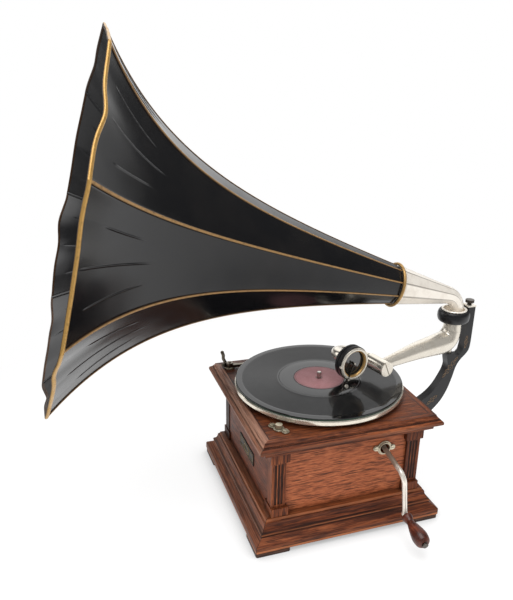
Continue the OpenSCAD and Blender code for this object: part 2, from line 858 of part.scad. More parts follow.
module motor_frame() {
    color([0.3, 0.3, 0.31])
        difference() {
            union() {
                box([4 - inn, -66, low_z - 4], [inn - 2, inn - 1, low_z]);
                for (p = pillars)
                    rod([p[0], p[1], low_z - 1], 4, plate_z - low_z + 1 - g);
            }
            rod([0, 0, 0], lower_r + run, 100);
            rod([arbor[0], arbor[1], 0], 4 + run, 100);
            rod([inter[0], inter[1], 0], 3 + run, 100);
        }
}

module spring_barrel() {
    color([0.45, 0.44, 0.42])
        translate([arbor[0], arbor[1], 0]) {
            difference() {
                union() {
                    translate([0, 0, 64])
                        gear(n_barrel, 7, a_ib + 180 + 180 / n_barrel);
                    rod([0, 0, 70], n_barrel * mod / 2 - 2.5, barrel_top - 70);
                }
                rod([0, 0, 72], n_barrel * mod / 2 - 4.5, barrel_top - 59);
                rod([0, 0, 50], 5 + run, 100);
            }
            difference() {
                rod([0, 0, barrel_top + g], n_barrel * mod / 2 - 2.5, 2.5);
                rod([0, 0, 50], 5 + run, 100);
            }
        }
}

module mainspring() {
    n = 150;
    r0 = 9;
    r1 = n_barrel * mod / 2 - 5.3;
    color([0.35, 0.38, 0.45])
        translate([arbor[0], arbor[1], 74])
            linear_extrude(barrel_top - 76)
                polygon(concat([for (i = [0:n]) polar(r0 + (r1 - r0) * i / n, i * 18, 0)],
                    [for (i = [n:-1:0]) polar(r0 + (r1 - r0) * i / n - 0.8, i * 18, 0)])
                    * [[1, 0], [0, 1], [0, 0]]);
}

module winding_arbor() {
    color([0.55, 0.53, 0.5])
        translate([arbor[0], arbor[1], 0]) {
            rod([0, 0, low_z + 0.6], 5, disc_z - low_z);
            rod([0, 0, low_z - 3.6], 4, 6);
            rod([0, 0, disc_z - 1], 4, board_z - disc_z - 0.5);
            rod([0, 0, disc_z - 4], 26, 4);
            for (k = [0:23])
                rotate([0, 0, 15 * k])
                    rod([22, 0, disc_z - 1], 1.1, peg_top - disc_z + 1, $fn = 12);
        }
}

module intermediate_gear() {
    color([0.6, 0.5, 0.3])
        translate([inter[0], inter[1], 0])
            union() {
                rod([0, 0, low_z - 3.6], 3, board_z - low_z + 3);
                translate([0, 0, 63])
                    gear(n_pin, 9, a_ib);
                translate([0, 0, 53.5])
                    gear(n_wheel, 5, a_is + 180 + 180 / n_wheel);
                rod([0, 0, 53.5], 5.4, 12);
                rod([0, 0, low_z + 0.5], 5, 12);
            }
}

module governor() {
    wl = 18;
    lead = 4 * PI * mod;
    ph = 90 - 180 * wl / lead;
    color([0.62, 0.56, 0.4])
        translate([0, gov_y, gov_z]) {
            x_rod([-88, 0, 0], 2, 108);
            difference() {
                translate([-wl / 2, 0, 0])
                    rotate([0, 90, 0])
                        linear_extrude(wl, twist = -360 * wl / lead, slices = 20)
                            polygon([for (a = [0:10:350]) [cos(a), sin(a)]
                                * (4.4 - 1.1 * cos(4 * (a - ph)))]);
                x_rod([-20, 0, 0], 2 + run, 40);
            }
            difference() {
                union() {
                    x_rod([-32, 0, 0], 7, 7);
                    x_rod([-81, 0, 0], 7, 7);
                    x_rod([-79, 0, 0], 19, 1.6);
                    for (k = [0:2])
                        rotate([120 * k + 30, 0, 0]) {
                            x_rod([-59, 0, 15], 5, 12);
                            box([-78, -2, 5.6], [-27, 2, 6.4]);
                            box([-55, -2, 6], [-51, 2, 12]);
                        }
                }
                x_rod([-100, 0, 0], 2 + run, 90);
            }
        }
}

module motor_brackets() {
    color([0.32, 0.32, 0.33]) {
        for (x = [-88, 15])
            difference() {
                box([x, gov_y - 6, gov_z - 6], [x + 5, gov_y + 6, plate_z - g]);
                x_rod([x - 3, gov_y, gov_z], 2 + run, 12);
            }
        difference() {
            box([84, arbor[1] - 8, crank_z - 6], [90, arbor[1] + 8, plate_z - g]);
            at_crank()
                x_rod([-60, 0, 0], rod_r + run, 80);
        }
    }
}

// Round-headed screw standing on a face at z = 0
module screw(r, h, depth) {
    difference() {
        union() {
            rod([0, 0, g], r * 1.8, h);
            rod([0, 0, -depth], r, depth + h);
        }
        box([-r * 2, -0.4, h - 0.4], [r * 2, 0.4, h + 1]);
    }
}

module screws() {
    color([0.7, 0.67, 0.6]) {
        at_speed()
            for (x = [-11.5, 11.5])
                translate([x, 0, 1.7])
                    screw(2, 1.4, 1.5);
        translate([brake_p[0] - 10.6, brake_p[1] - 1.4, deck_h + 3.1])
            screw(2, 1.4, 2.8);
        translate([hb + 2.1, arbor[1], crank_z])
            rotate([90, 0, 90])
                for (a = [-4, 176])
                    rotate([0, 0, a])
                        translate([13, 0, 0])
                            screw(1.9, 1, 1.9);
        for (x = [-23, 23], z = [pad_z0 + 8, pad_z1 - 8])
            translate([x, hb + 6, z])
                rotate([-90, 0, 0])
                    screw(2, 1.6, 5.8);
    }
}

feet();
plinth();
bottom_board();
case_front();
case_back();
case_left();
case_right();
pilasters();
cornice();
motor_board();
name_plate();
turntable();
turntable_felt();
spindle();
record();
record_label();
deck_plates();
brake_lever();
speed_knob();
crank_escutcheon();
crank();
crank_grip();
bracket();
bracket_cap();
thumb_screw();
tone_arm();
arm_sleeve();
sleeve_cap();
gooseneck();
sound_box_rubber();
sound_box_shell();
sound_box_ring();
sound_box_bezel();
diaphragm();
stylus_bar();
needle_screw();
needle();
horn_elbow();
throat_ring();
horn_panel(1);  // horn_panel_1
horn_panel(2);  // horn_panel_2
horn_panel(3);  // horn_panel_3
horn_panel(4);  // horn_panel_4
horn_panel(5);  // horn_panel_5
horn_panel(6);  // horn_panel_6
horn_panel(7);  // horn_panel_7
horn_panel(8);  // horn_panel_8
horn_panel(9);  // horn_panel_9
horn_seams();
horn_rim();
motor_plate();
motor_frame();
spring_barrel();
mainspring();
winding_arbor();
intermediate_gear();
governor();
motor_brackets();
screws();
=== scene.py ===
import math

import bpy
import numpy as np
from mathutils import Matrix, Vector


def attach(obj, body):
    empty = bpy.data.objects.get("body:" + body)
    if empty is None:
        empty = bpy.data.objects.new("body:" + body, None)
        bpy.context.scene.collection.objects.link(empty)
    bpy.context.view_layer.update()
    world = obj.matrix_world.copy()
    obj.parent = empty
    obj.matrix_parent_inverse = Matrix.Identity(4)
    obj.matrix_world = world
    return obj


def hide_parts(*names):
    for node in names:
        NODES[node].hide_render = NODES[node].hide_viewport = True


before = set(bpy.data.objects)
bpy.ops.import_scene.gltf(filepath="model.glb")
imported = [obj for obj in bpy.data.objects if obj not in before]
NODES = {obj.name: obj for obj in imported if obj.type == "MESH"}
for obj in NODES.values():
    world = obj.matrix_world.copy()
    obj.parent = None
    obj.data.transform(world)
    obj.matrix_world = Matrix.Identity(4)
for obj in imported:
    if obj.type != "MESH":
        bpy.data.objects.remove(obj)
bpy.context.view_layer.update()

MM = 0.001

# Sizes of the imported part, in mm and degrees
DECK_H = 170.2
REC_Z = DECK_H + 16.6
RECORD_R = 125
BORE_R = 3.65 + 0.06
HALF_BOX = 112
RING_Y = 226
RING_Z0 = DECK_H + 85
RING_Z1 = RING_Z0 + 18
ARM_TURN = 13.9
SLEEVE_Z = DECK_H + 40.8
BOX_F = 199.7
BOX_Z = DECK_H + 57
NEEDLE_A = 28.4
HORN_TURN = -2.5
HORN_LEN = 465
MOUTH_R = 242
THROAT_R = 28.5
SEAM_0 = 21.9
PANELS = 9
SPAN = 360 / PANELS
FLARE_M = 105
FLARE_K = 0.15
FLARE_E = (MOUTH_R - THROAT_R - FLARE_K * HORN_LEN) / (math.exp(HORN_LEN / FLARE_M) - 1)
EL_ECC = 3.7
EL_RB = 26.5
EL_LEN = 95
EL_END = 10
EL_MID = 14
EL_TOP = THROAT_R + 1.4
EL_TH = 76
EL_WALL = 1.4
CRANK_AT = (113, 57, DECK_H - 49.2)
CRANK_TILT = 10
CRANK_PHI = 12
CRANK_TIP = (122, 0, -76)
BRACKET_FACE = 7.5
PLATE_Z = 83
PLATE_FACE = -HALF_BOX - 0.95

# Marks that the materials draw, in m
BORDER = 0.1192
POST_MID = 0.1028
POST_BACK = 0.1128
FLUTE_FLOOR = 0.11615
FLUTE_HALF = 0.0066
LABEL_LINE_R = 0.0352
LABEL_PAPER_R = 0.0368
RUN_OUT_R = 0.0606


def srgb(r, g, b):
    """Linear colour of an 8-bit one."""
    def one(c):
        c = c / 255
        return c / 12.92 if c <= 0.04045 else ((c + 0.055) / 1.055) ** 2.4
    return (one(r), one(g), one(b), 1.0)


# Places


def shift(x, y, z):
    m = np.eye(4)
    m[:3, 3] = (x, y, z)
    return m


def turn(axis, degrees):
    return np.array(Matrix.Rotation(math.radians(degrees), 4, axis))


def moved(m, points):
    p = np.asarray(points, float)
    return p @ m[:3, :3].T + m[:3, 3]


def unit(rows):
    """Rows of vectors, each of length 1."""
    return rows / np.linalg.norm(rows, axis=1)[:, None]


AT_ARM = shift(0, RING_Y, 0) @ turn("Z", ARM_TURN)
AT_ELBOW = shift(0, RING_Y, 0) @ turn("Z", HORN_TURN)
EL_COS = math.cos(math.radians(EL_TH))
EL_SIN = math.sin(math.radians(EL_TH))
THROAT_F = EL_RB - EL_ECC - EL_RB * EL_COS + EL_LEN * EL_SIN
THROAT_Z = RING_Z1 + EL_RB * EL_SIN + EL_LEN * EL_COS
AT_HORN = AT_ELBOW @ shift(0, -THROAT_F, THROAT_Z) @ turn("X", EL_TH)
AT_SOUND = AT_ARM @ shift(0, -BOX_F, BOX_Z) @ turn("X", -NEEDLE_A)
AT_CRANK = shift(*CRANK_AT) @ turn("Y", CRANK_TILT) @ turn("X", CRANK_PHI)


# Material graphs


class Graph:
    """Builds the node graph of one material or of the world."""

    def __init__(self, owner):
        owner.use_nodes = True
        self.tree = owner.node_tree
        self.tree.nodes.clear()

    def node(self, kind, inputs=None, **settings):
        made = self.tree.nodes.new(kind)
        for key, value in settings.items():
            setattr(made, key, value)
        for key, value in (inputs or {}).items():
            self.put(made.inputs[key], value)
        return made

    def put(self, socket, value):
        if isinstance(value, bpy.types.NodeSocket):
            self.tree.links.new(value, socket)
        else:
            socket.default_value = value

    def math(self, operation, a, b=0.0, clamp=False):
        made = self.node("ShaderNodeMath", operation=operation, use_clamp=clamp)
        self.put(made.inputs[0], a)
        self.put(made.inputs[1], b)
        return made.outputs[0]

    def times(self, a, b):
        return self.math("MULTIPLY", a, b)

    def size(self, value):
        return self.math("ABSOLUTE", value)

    def mix(self, share, a, b):
        made = self.node("ShaderNodeMix", data_type="RGBA")
        self.put(made.inputs[0], share)
        self.put(made.inputs[6], a)
        self.put(made.inputs[7], b)
        return made.outputs[2]

    def blend(self, share, a, b):
        made = self.node("ShaderNodeMix", data_type="FLOAT")
        self.put(made.inputs[0], share)
        self.put(made.inputs[2], a)
        self.put(made.inputs[3], b)
        return made.outputs[0]

    def span(self, value, low, high, to_low=0.0, to_high=1.0, smooth=False):
        """Value mapped from one range to another, held at both ends."""
        kind = "SMOOTHSTEP" if smooth else "LINEAR"
        made = self.node("ShaderNodeMapRange", interpolation_type=kind)
        for index, item in enumerate((value, low, high, to_low, to_high)):
            self.put(made.inputs[index], item)
        return made.outputs[0]

    def ramp(self, share, stops):
        made = self.node("ShaderNodeValToRGB")
        bar = made.color_ramp.elements
        while len(bar) < len(stops):
            bar.new(0.5)
        for element, (place, colour) in zip(bar, stops):
            element.position = place
            element.color = colour
        self.put(made.inputs[0], share)
        return made.outputs[0]

    def line(self, value, at, half, fade, share=1.0):
        """Share within half of a value, faded out at the distance fade."""
        gap = self.math("SUBTRACT", value, at)
        return self.span(self.size(gap), half, fade, share, 0.0)

    def from_axis(self, x, y):
        """Distance from the upright axis through the origin."""
        return self.math("SQRT", self.math("ADD", self.times(x, x), self.times(y, y)))

    def apart(self, vector, spot):
        """Distance to a spot that is given in mm."""
        made = self.node("ShaderNodeVectorMath", operation="DISTANCE")
        self.put(made.inputs[0], vector)
        made.inputs[1].default_value = [c * MM for c in spot]
        return made.outputs["Value"]

    def place(self):
        return self.node("ShaderNodeTexCoord").outputs["Object"]

    def split(self, vector):
        return self.node("ShaderNodeSeparateXYZ", {0: vector}).outputs

    def join(self, x, y, z):
        return self.node("ShaderNodeCombineXYZ", {0: x, 1: y, 2: z}).outputs[0]

    def scaled(self, vector, x, y, z):
        made = self.node("ShaderNodeVectorMath", operation="MULTIPLY")
        self.put(made.inputs[0], vector)
        made.inputs[1].default_value = (x, y, z)
        return made.outputs[0]

    def noise(self, vector, scale, detail=3.0, rough=0.55, distortion=0.0):
        made = self.node("ShaderNodeTexNoise", {
            "Vector": vector, "Scale": scale, "Detail": detail,
            "Roughness": rough, "Distortion": distortion})
        return made.outputs["Fac"]

    def bump(self, height, strength, distance):
        return self.node("ShaderNodeBump", {
            "Height": height, "Strength": strength, "Distance": distance}).outputs[0]

    def corner_shade(self, distance):
        """1 in the open, 0 in a tight corner."""
        made = self.node("ShaderNodeAmbientOcclusion", {"Distance": distance}, samples=8)
        return made.outputs["AO"]

    def finish(self, shader):
        out = self.node("ShaderNodeOutputMaterial")
        self.put(out.inputs[0], shader)


def principled(graph, sockets):
    shader = graph.node("ShaderNodeBsdfPrincipled")
    for key, value in sockets.items():
        graph.put(shader.inputs[key], value)
    graph.finish(shader.outputs[0])


LOOK = {}


def new_material(name):
    """Graph of a new material, which LOOK keeps under its name."""
    LOOK[name] = bpy.data.materials.new(name)
    return Graph(LOOK[name])


def grain_space(g, grain):
    """Coordinates with the grain along the first one."""
    place = g.place()
    x, y, z = g.split(place)
    if grain == "y":
        return g.join(y, x, z)
    if grain == "z":
        return g.join(z, x, y)
    if grain == "x":
        return place
    if grain == "framed":
        inside = g.math("MAXIMUM", g.size(x), BORDER)
        turned = g.math("GREATER_THAN", g.size(y), inside)
        return g.join(g.blend(turned, y, x), g.blend(turned, x, y), z)
    side = g.math("GREATER_THAN", g.size(x), g.size(y))
    along = g.blend(side, x, y)
    across = g.blend(side, g.math("ADD", y, 0.35), x)
    return g.join(along, across, z)


def mitre_line(g):
    """1 on the diagonal joints of a square frame."""
    x, y, _ = g.split(g.place())
    return g.line(g.size(x), g.size(y), 0.0003, 0.0009)


def flute_mask(g):
    """1 inside the flutes of the corner posts, where the wood paints shade in the recesses."""
    x, y, _ = g.split(g.place())
    wide = g.size(x)
    deep = g.span(wide, FLUTE_FLOOR, FLUTE_FLOOR + 0.0003, 1.0, 0.0)
    out = g.span(wide, POST_BACK, POST_BACK + 0.0006)
    inside = g.line(g.size(y), POST_MID, FLUTE_HALF, FLUTE_HALF + 0.0005)
    return g.times(g.times(deep, out), inside)


def wood(name, grain, tones, figure, streaks=0.35, worn=(), mitred=False, shade=0.75,
         fluted=False, gloss=0.22, sheen_and_dust=0.0, border=0.0, painted_front_shade=0.0):
    """Stained oak.

    The tones are dark, middle and light. Figure is the share of the rippled grain, streaks that
    of dark stripes, shade that of the painted shade in corners. Worn holds bands of height: worn
    edges, and dark lines that are painted shade in the grooves. sheen_and_dust lightens the front
    edge outside the border with a painted sheen together with dust, and painted_front_shade
    darkens the face of the left posts with painted shade.
    """
    g = new_material(name)
    space = grain_space(g, grain)
    band = g.noise(g.scaled(space, 0.14, 1, 1), 46, 3, 0.5, 0.5)
    fibre = g.noise(g.scaled(space, 0.035, 1, 1), 480, 4, 0.65)
    pore = g.noise(g.scaled(space, 0.07, 1, 1), 640, 2, 0.5)
    ripple = g.noise(g.scaled(space, 0.2, 1, 1), 410, 3, 0.55, 0.5)
    tone = g.math("ADD", g.times(band, 0.35), g.times(fibre, 0.65))
    tone = g.blend(figure, tone, ripple)
    colour = g.ramp(tone, [(0.36, tones[0]), (0.5, tones[1]), (0.65, tones[2])])
    stripe = g.noise(g.scaled(space, 0.05, 1, 1), 170, 3, 0.6, 0.3)
    stripe = g.span(stripe, 0.52, 0.66, 0.0, streaks)
    colour = g.mix(stripe, colour, PORE)
    pits = g.span(pore, 0.5, 0.64, 0.0, 0.75)
    colour = g.mix(pits, colour, PORE)
    place = g.place()
    x, y, z = g.split(place)
    wide = g.size(x)
    patch = g.noise(place, 24, 3, 0.6)
    uneven = g.span(patch, 0.3, 0.6, 0.45, 1.0)
    for low, high, share, tint in worn:
        rise = g.span(z, low * MM, (low + BAND_FADE) * MM)
        fall = g.span(z, (high - BAND_FADE) * MM, high * MM, 1.0, 0.0)
        mask = g.times(g.times(rise, fall), uneven)
        colour = g.mix(g.times(mask, share), colour, tint)
    if mitred:
        colour = g.mix(g.times(mitre_line(g), 0.8), colour, JOINT)
    if fluted:
        # Painted shade in the recessed flutes
        colour = g.mix(g.times(flute_mask(g), 0.85), colour, FLUTE_PAINTED_SHADE)
    if painted_front_shade:
        # Painted shade: the front faces of the left posts darken as if in shadow
        ahead = g.split(g.node("ShaderNodeNewGeometry").outputs["Normal"])[1]
        left = g.math("LESS_THAN", x, 0.0)
        share = g.times(left, g.span(ahead, -0.9, -0.6, painted_front_shade, 0.0))
        colour = g.mix(share, colour, PAINTED_SHADE)
    # Painted shade: the wood darkens in corners and grooves, where shade falls
    painted_shade_and_tarnish = g.span(g.corner_shade(0.009), 0.25, 0.95, shade, 0.0)
    colour = g.mix(painted_shade_and_tarnish, colour, PAINTED_SHADE)
    if border:
        # Painted shade in the groove along the border of the board
        out = g.math("MAXIMUM", wide, g.size(y))
        colour = g.mix(g.line(out, border, 0.0004, 0.0012, 0.75), colour, BORDER_PAINTED_SHADE)
    if sheen_and_dust:
        # Painted sheen together with dust: the front edge is lightened
        start = g.math("MAXIMUM", wide, border + 0.001)
        front = g.math("LESS_THAN", y, g.times(start, -1.0))
        share = g.times(front, g.span(fibre, 0.35, 0.55, 0.2 * sheen_and_dust, sheen_and_dust))
        colour = g.mix(share, colour, SHEEN_AND_DUST_TONE)
    relief = g.math("SUBTRACT", g.times(fibre, 0.5), pits)
    principled(g, {
        "Base Color": colour,
        "Roughness": g.blend(patch, 0.4, 0.58),
        "Specular IOR Level": gloss,
        "Normal": g.bump(relief, 0.35, 0.0004)})


def metal(name, colour, stain, rough, spots=0.5, pitting=0.25, shade=0.0, crease=False,
          bright=1.0, pits=0.58):
    """Metal or plating with stains in patches and specks.

    Spots is the share of the stains, pitting the strength of the bump and shade the tarnish in
    corners. Bright is how metallic it is. A higher pits value leaves fewer specks.
    """
    g = new_material(name)
    place = g.place()
    patch = g.noise(place, 70, 4, 0.6)
    speck = g.noise(place, 900, 3, 0.6)
    fleck = g.times(g.span(speck, pits, pits + 0.12), g.span(patch, 0.4, 0.62))
    tint = g.math("ADD", g.span(patch, 0.5, 0.8, 0.0, 0.35), fleck, True)
    tint = g.times(tint, spots)
    base = g.mix(tint, colour, stain)
    if shade:
        painted_shade_and_tarnish = g.span(g.corner_shade(0.006), 0.3, 0.95, shade, 0.0)
        base = g.mix(painted_shade_and_tarnish, base, TARNISH)
    if crease:
        line = g.node("ShaderNodeAttribute", attribute_name="crease").outputs["Fac"]
        base = g.mix(g.times(line, 0.75), base, CREASE)
    cloud = g.noise(place, 60, 3, 0.5)
    principled(g, {
        "Base Color": base,
        "Metallic": bright,
        "Roughness": g.math("ADD", g.span(cloud, 0.3, 0.7, rough * 0.85, rough * 1.15),
                            g.times(tint, 0.25)),
        "Normal": g.bump(g.math("ADD", speck, cloud), pitting, 0.0002)})


def lacquer(name, colour, dust, rough, wave=0.1, dirt=0.3):
    """Black paint: a gloss with slow waves, dulled by dust where it faces up."""
    g = new_material(name)
    place = g.place()
    cloud = g.noise(place, 14, 4, 0.6)
    fine = g.noise(place, 500, 3, 0.6)
    share = g.times(g.span(cloud, 0.45, 0.75), dirt)
    slow = g.noise(place, 22, 1, 0.4)
    up = g.split(g.node("ShaderNodeNewGeometry").outputs["Normal"])[2]
    settled = g.span(up, 0.55, 0.95, 0.0, 0.26)
    height = g.math("ADD", g.times(slow, wave), g.times(fine, 0.02))
    principled(g, {
        "Base Color": g.mix(share, colour, dust),
        "Roughness": g.math("ADD", g.math("ADD", rough, settled),
                            g.span(cloud, 0.3, 0.8, 0.0, 0.12)),
        "Normal": g.bump(height, 0.3, 0.002)})


def gilding(name, colour, worn, rough, wear):
    """Gold paint, rubbed brown along its edges and in spots."""
    g = new_material(name)
    place = g.place()
    spot = g.noise(place, 260, 4, 0.65)
    cloud = g.noise(place, 38, 3, 0.6)
    edge = g.node("ShaderNodeAttribute", attribute_name="edge").outputs["Fac"]
    mask = g.times(g.span(spot, 0.5, 0.68), g.span(cloud, 0.25, 0.7, 0.3, 1.0))
    mask = g.math("MAXIMUM", g.times(mask, wear), edge)
    principled(g, {
        "Base Color": g.mix(mask, colour, worn),
        "Metallic": 0.5,
        "Roughness": g.span(cloud, 0.3, 0.7, rough * 0.8, rough * 1.2),
        "Normal": g.bump(spot, 0.25, 0.0003)})


def cloth(name, low, high):
    g = new_material(name)
    nap = g.noise(g.place(), 1400, 3, 0.7)
    principled(g, {
        "Base Color": g.mix(nap, low, high),
        "Roughness": 0.95,
        "Sheen Weight": 0.3,
        "Normal": g.bump(nap, 0.6, 0.0004)})


def paper(name, low, high):
    """Label paper with faint fibres, a thin ring and a dark border."""
    g = new_material(name)
    place = g.place()
    x, y, _ = g.split(place)
    far = g.from_axis(x, y)
    fibre = g.noise(place, 420, 4, 0.7)
    stain = g.noise(place, 45, 3, 0.6)
    colour = g.mix(g.span(g.blend(0.5, fibre, stain), 0.3, 0.7), low, high)
    colour = g.mix(g.line(far, LABEL_LINE_R, 0.0002, 0.0006, 0.7), colour, srgb(84, 50, 52))
    border = g.span(far, LABEL_PAPER_R, LABEL_PAPER_R + 0.0004, 0.0, 0.9)
    colour = g.mix(border, colour, srgb(58, 52, 53))
    rubbed = g.span(far, 0.004, 0.0062, 0.8, 0.0)
    colour = g.mix(rubbed, colour, srgb(70, 44, 42))
    principled(g, {
        "Base Color": colour,
        "Roughness": 0.62,
        "Normal": g.bump(fibre, 0.2, 0.0002)})


def disc(name, rough, lanes):
    """Record shellac; lanes is how strongly the groove bands show, 0 outside the grooves."""
    g = new_material(name)
    place = g.place()
    x, y, _ = g.split(place)
    far = g.from_axis(x, y)
    lane = g.noise(g.join(far, 0.0, 0.0), 900, 4, 0.7)
    dust = g.noise(place, 60, 4, 0.6)
    colour = g.mix(g.span(dust, 0.4, 0.75), srgb(15, 15, 16), srgb(27, 27, 27))
    if lanes:
        uneven = g.times(g.math("SUBTRACT", lane, 0.5), lanes)
    else:
        uneven = g.line(far, RUN_OUT_R, 0.0003, 0.0009, 0.5)
    sockets = {
        "Base Color": colour,
        "Roughness": g.math("ADD", rough, uneven),
        "Normal": g.bump(lane, 0.12 if lanes else 0.03, 0.0002)}
    if lanes:
        axis = g.node("ShaderNodeTangent", direction_type="RADIAL", axis="Z")
        sockets["Tangent"] = axis.outputs[0]
        sockets["Anisotropic"] = 0.85
        sockets["Anisotropic Rotation"] = 0.25
        sockets["Specular IOR Level"] = 0.12
        sockets["Coat Weight"] = 0.29
        sockets["Coat Roughness"] = 0.05
    principled(g, sockets)


def crank_metal(name):
    """Plated rod, bare and brown where it goes into the case, and dark at its end washer, which is
    painted shade standing in for the hollow end of the grip.
    """
    g = new_material(name)
    place = g.place()
    cloud = g.noise(place, 160, 4, 0.6)
    far = g.math("ADD", g.apart(place, CRANK_AT), g.span(cloud, 0.3, 0.7, -0.008, 0.008))
    bare = g.span(far, 0.038, 0.056, 0.85, 0.0, True)
    # Painted shade: the end washer is darkened like a hollow end
    end = g.span(g.apart(place, moved(AT_CRANK, CRANK_TIP)), 0.012, 0.016, 0.92, 0.0)
    speck = g.noise(place, 800, 3, 0.6)
    base = g.mix(bare, srgb(240, 233, 222), srgb(118, 94, 74))
    base = g.mix(end, base, srgb(34, 20, 15))
    base = g.mix(g.span(speck, 0.56, 0.72, 0.0, 0.4), base, srgb(120, 98, 66))
    principled(g, {
        "Base Color": base,
        "Metallic": 0.5,
        "Roughness": g.blend(bare, 0.2, 0.42),
        "Normal": g.bump(g.math("ADD", speck, cloud), 0.2, 0.0002)})


def grip_wood(name):
    g = new_material(name)
    place = g.place()
    fibre = g.noise(g.scaled(place, 0.12, 1, 1), 500, 4, 0.6)
    cloud = g.noise(place, 60, 3, 0.6)
    colour = g.ramp(g.blend(0.55, fibre, cloud), [
        (0.34, srgb(40, 18, 12)), (0.52, srgb(78, 34, 22)), (0.7, srgb(120, 60, 38))])
    principled(g, {
        "Base Color": colour,
        "Roughness": g.span(cloud, 0.3, 0.7, 0.34, 0.5),
        "Coat Weight": 0.12,
        "Coat Roughness": 0.25,
        "Normal": g.bump(fibre, 0.15, 0.0003)})


def mica(name):
    g = new_material(name)
    flake = g.noise(g.place(), 120, 5, 0.7)
    principled(g, {
        "Base Color": g.mix(flake, srgb(24, 23, 21), srgb(50, 47, 42)),
        "Roughness": g.span(flake, 0.3, 0.7, 0.04, 0.09),
        "IOR": 1.95,
        "Normal": g.bump(flake, 0.02, 0.0003)})


OAK = (srgb(50, 23, 12), srgb(108, 53, 27), srgb(158, 90, 52))
OAK_RED = (srgb(76, 38, 23), srgb(114, 60, 37), srgb(148, 84, 52))
OAK_DECK = (srgb(45, 21, 11), srgb(100, 49, 24), srgb(144, 80, 44))
OAK_DARK = (srgb(46, 30, 24), srgb(78, 52, 41), srgb(108, 76, 60))
# Lighter copy of the front's oak for the case sides: painted light on the lit side
OAK_LIT_SIDE = (srgb(134, 72, 45), srgb(160, 89, 56), srgb(182, 107, 68))
PORE = srgb(44, 22, 16)
JOINT = srgb(24, 13, 10)
# Painted shade inside the flutes
FLUTE_PAINTED_SHADE = srgb(22, 12, 10)
# Colour of the painted shade in corners and on the front faces of the left posts
PAINTED_SHADE = srgb(26, 14, 11)
# Painted shade of the groove along the board's border
BORDER_PAINTED_SHADE = srgb(30, 16, 12)
# Pale tone of the front edges: painted sheen together with dust
SHEEN_AND_DUST_TONE = srgb(178, 134, 112)
PALE_EDGE = srgb(172, 106, 66)
GREY_EDGE = srgb(136, 92, 70)
# Dark lines of painted shade in the grooves between the steps of the mouldings
GROOVE_PAINTED_SHADE = srgb(34, 19, 14)
DARK_BAND = srgb(70, 36, 23)
# Bands of the mouldings: lowest and highest height in mm, share, colour; they fade over BAND_FADE
BAND_FADE = 0.5
# The dark lines among these bands are painted shade in the grooves of the mouldings
PLINTH_BANDS = [(6.5, 10.6, 0.85, PALE_EDGE), (10.6, 12.0, 0.7, GROOVE_PAINTED_SHADE),
                (12.0, 17.6, 0.3, DARK_BAND), (23.2, 25.6, 0.8, GROOVE_PAINTED_SHADE),
                (26.0, 28.4, 0.6, PALE_EDGE), (28.8, 30.8, 0.8, GROOVE_PAINTED_SHADE),
                (41.4, 45.2, 0.5, PALE_EDGE)]
CORNICE_BANDS = [(150.0, 154.4, 0.4, GREY_EDGE), (154.4, 157.2, 0.9, GROOVE_PAINTED_SHADE),
                 (157.3, 161.2, 0.35, GREY_EDGE), (163.1, 164.3, 0.85, GROOVE_PAINTED_SHADE),
                 (164.3, 165.2, 0.45, GREY_EDGE)]
NICKEL = srgb(226, 219, 206)
NICKEL_STAIN = srgb(142, 116, 78)
TARNISH = srgb(40, 32, 24)
CREASE = srgb(70, 60, 48)

wood("oak_board", "framed", OAK_DECK, figure=0.3, streaks=0.22, gloss=0.3, sheen_and_dust=0.8,
     border=BORDER)
wood("oak_side_lit", "y", OAK_LIT_SIDE, figure=0.66, streaks=0.1, shade=0.3)
wood("oak_front", "x", OAK_RED, figure=0.45, streaks=0.25)
wood("oak_post", "z", OAK, figure=0.1, fluted=True, painted_front_shade=0.75)
wood("oak_plinth", "mitre", OAK, figure=0.1, streaks=0.7, worn=PLINTH_BANDS,
     mitred=True, sheen_and_dust=0.15)
wood("oak_cornice", "mitre", OAK, figure=0.1, streaks=0.45, worn=CORNICE_BANDS,
     mitred=True, shade=0.85, sheen_and_dust=0.5)
wood("oak_foot", "mitre", OAK_DARK, figure=0.1, streaks=0.8, shade=0.85)
wood("plain_board", "x", OAK_DARK, figure=0.1, streaks=0.2)
metal("nickel", NICKEL, NICKEL_STAIN, 0.24, spots=0.6, pitting=0.002, bright=0.66,
      pits=0.6)
metal("nickel_mirror", NICKEL, NICKEL_STAIN, 0.17, spots=0.3, pitting=0.002,
      bright=0.88, pits=0.66)
metal("nickel_elbow", srgb(244, 237, 226), NICKEL_STAIN, 0.34, spots=0.55,
      pitting=0.004, crease=True, bright=0.38, pits=0.66)
metal("nickel_rim", srgb(248, 240, 224), srgb(96, 78, 50), 0.18, spots=0.75,
      pitting=0.01, shade=0.3, bright=0.8, pits=0.62)
metal("nickel_pale", srgb(214, 204, 180), srgb(120, 98, 62), 0.3, spots=0.6,
      pitting=0.05, shade=0.6, bright=0.8)
metal("pewter", srgb(118, 110, 98), srgb(66, 56, 42), 0.34, spots=0.7, pitting=0.35,
      shade=0.7)
metal("dark_steel", srgb(84, 78, 72), srgb(44, 38, 32), 0.36, spots=0.6,
      pitting=0.3, shade=0.6)
metal("steel", srgb(190, 186, 180), srgb(110, 92, 70), 0.28, pitting=0.2)
metal("iron", srgb(92, 92, 92), srgb(62, 50, 40), 0.42, spots=0.6, pitting=0.35)
metal("brass", srgb(204, 160, 92), srgb(118, 80, 36), 0.28, spots=0.6, shade=0.7)
metal("old_brass", srgb(196, 158, 102), srgb(98, 70, 40), 0.4, spots=0.7,
      pitting=0.1, shade=0.5, bright=0.7)
metal("plate", srgb(48, 42, 34), srgb(24, 21, 18), 0.36, spots=0.8, pitting=0.3,
      shade=0.8)
metal("emboss", srgb(146, 130, 100), srgb(60, 50, 34), 0.34, spots=0.8, pitting=0.1,
      shade=0.3)
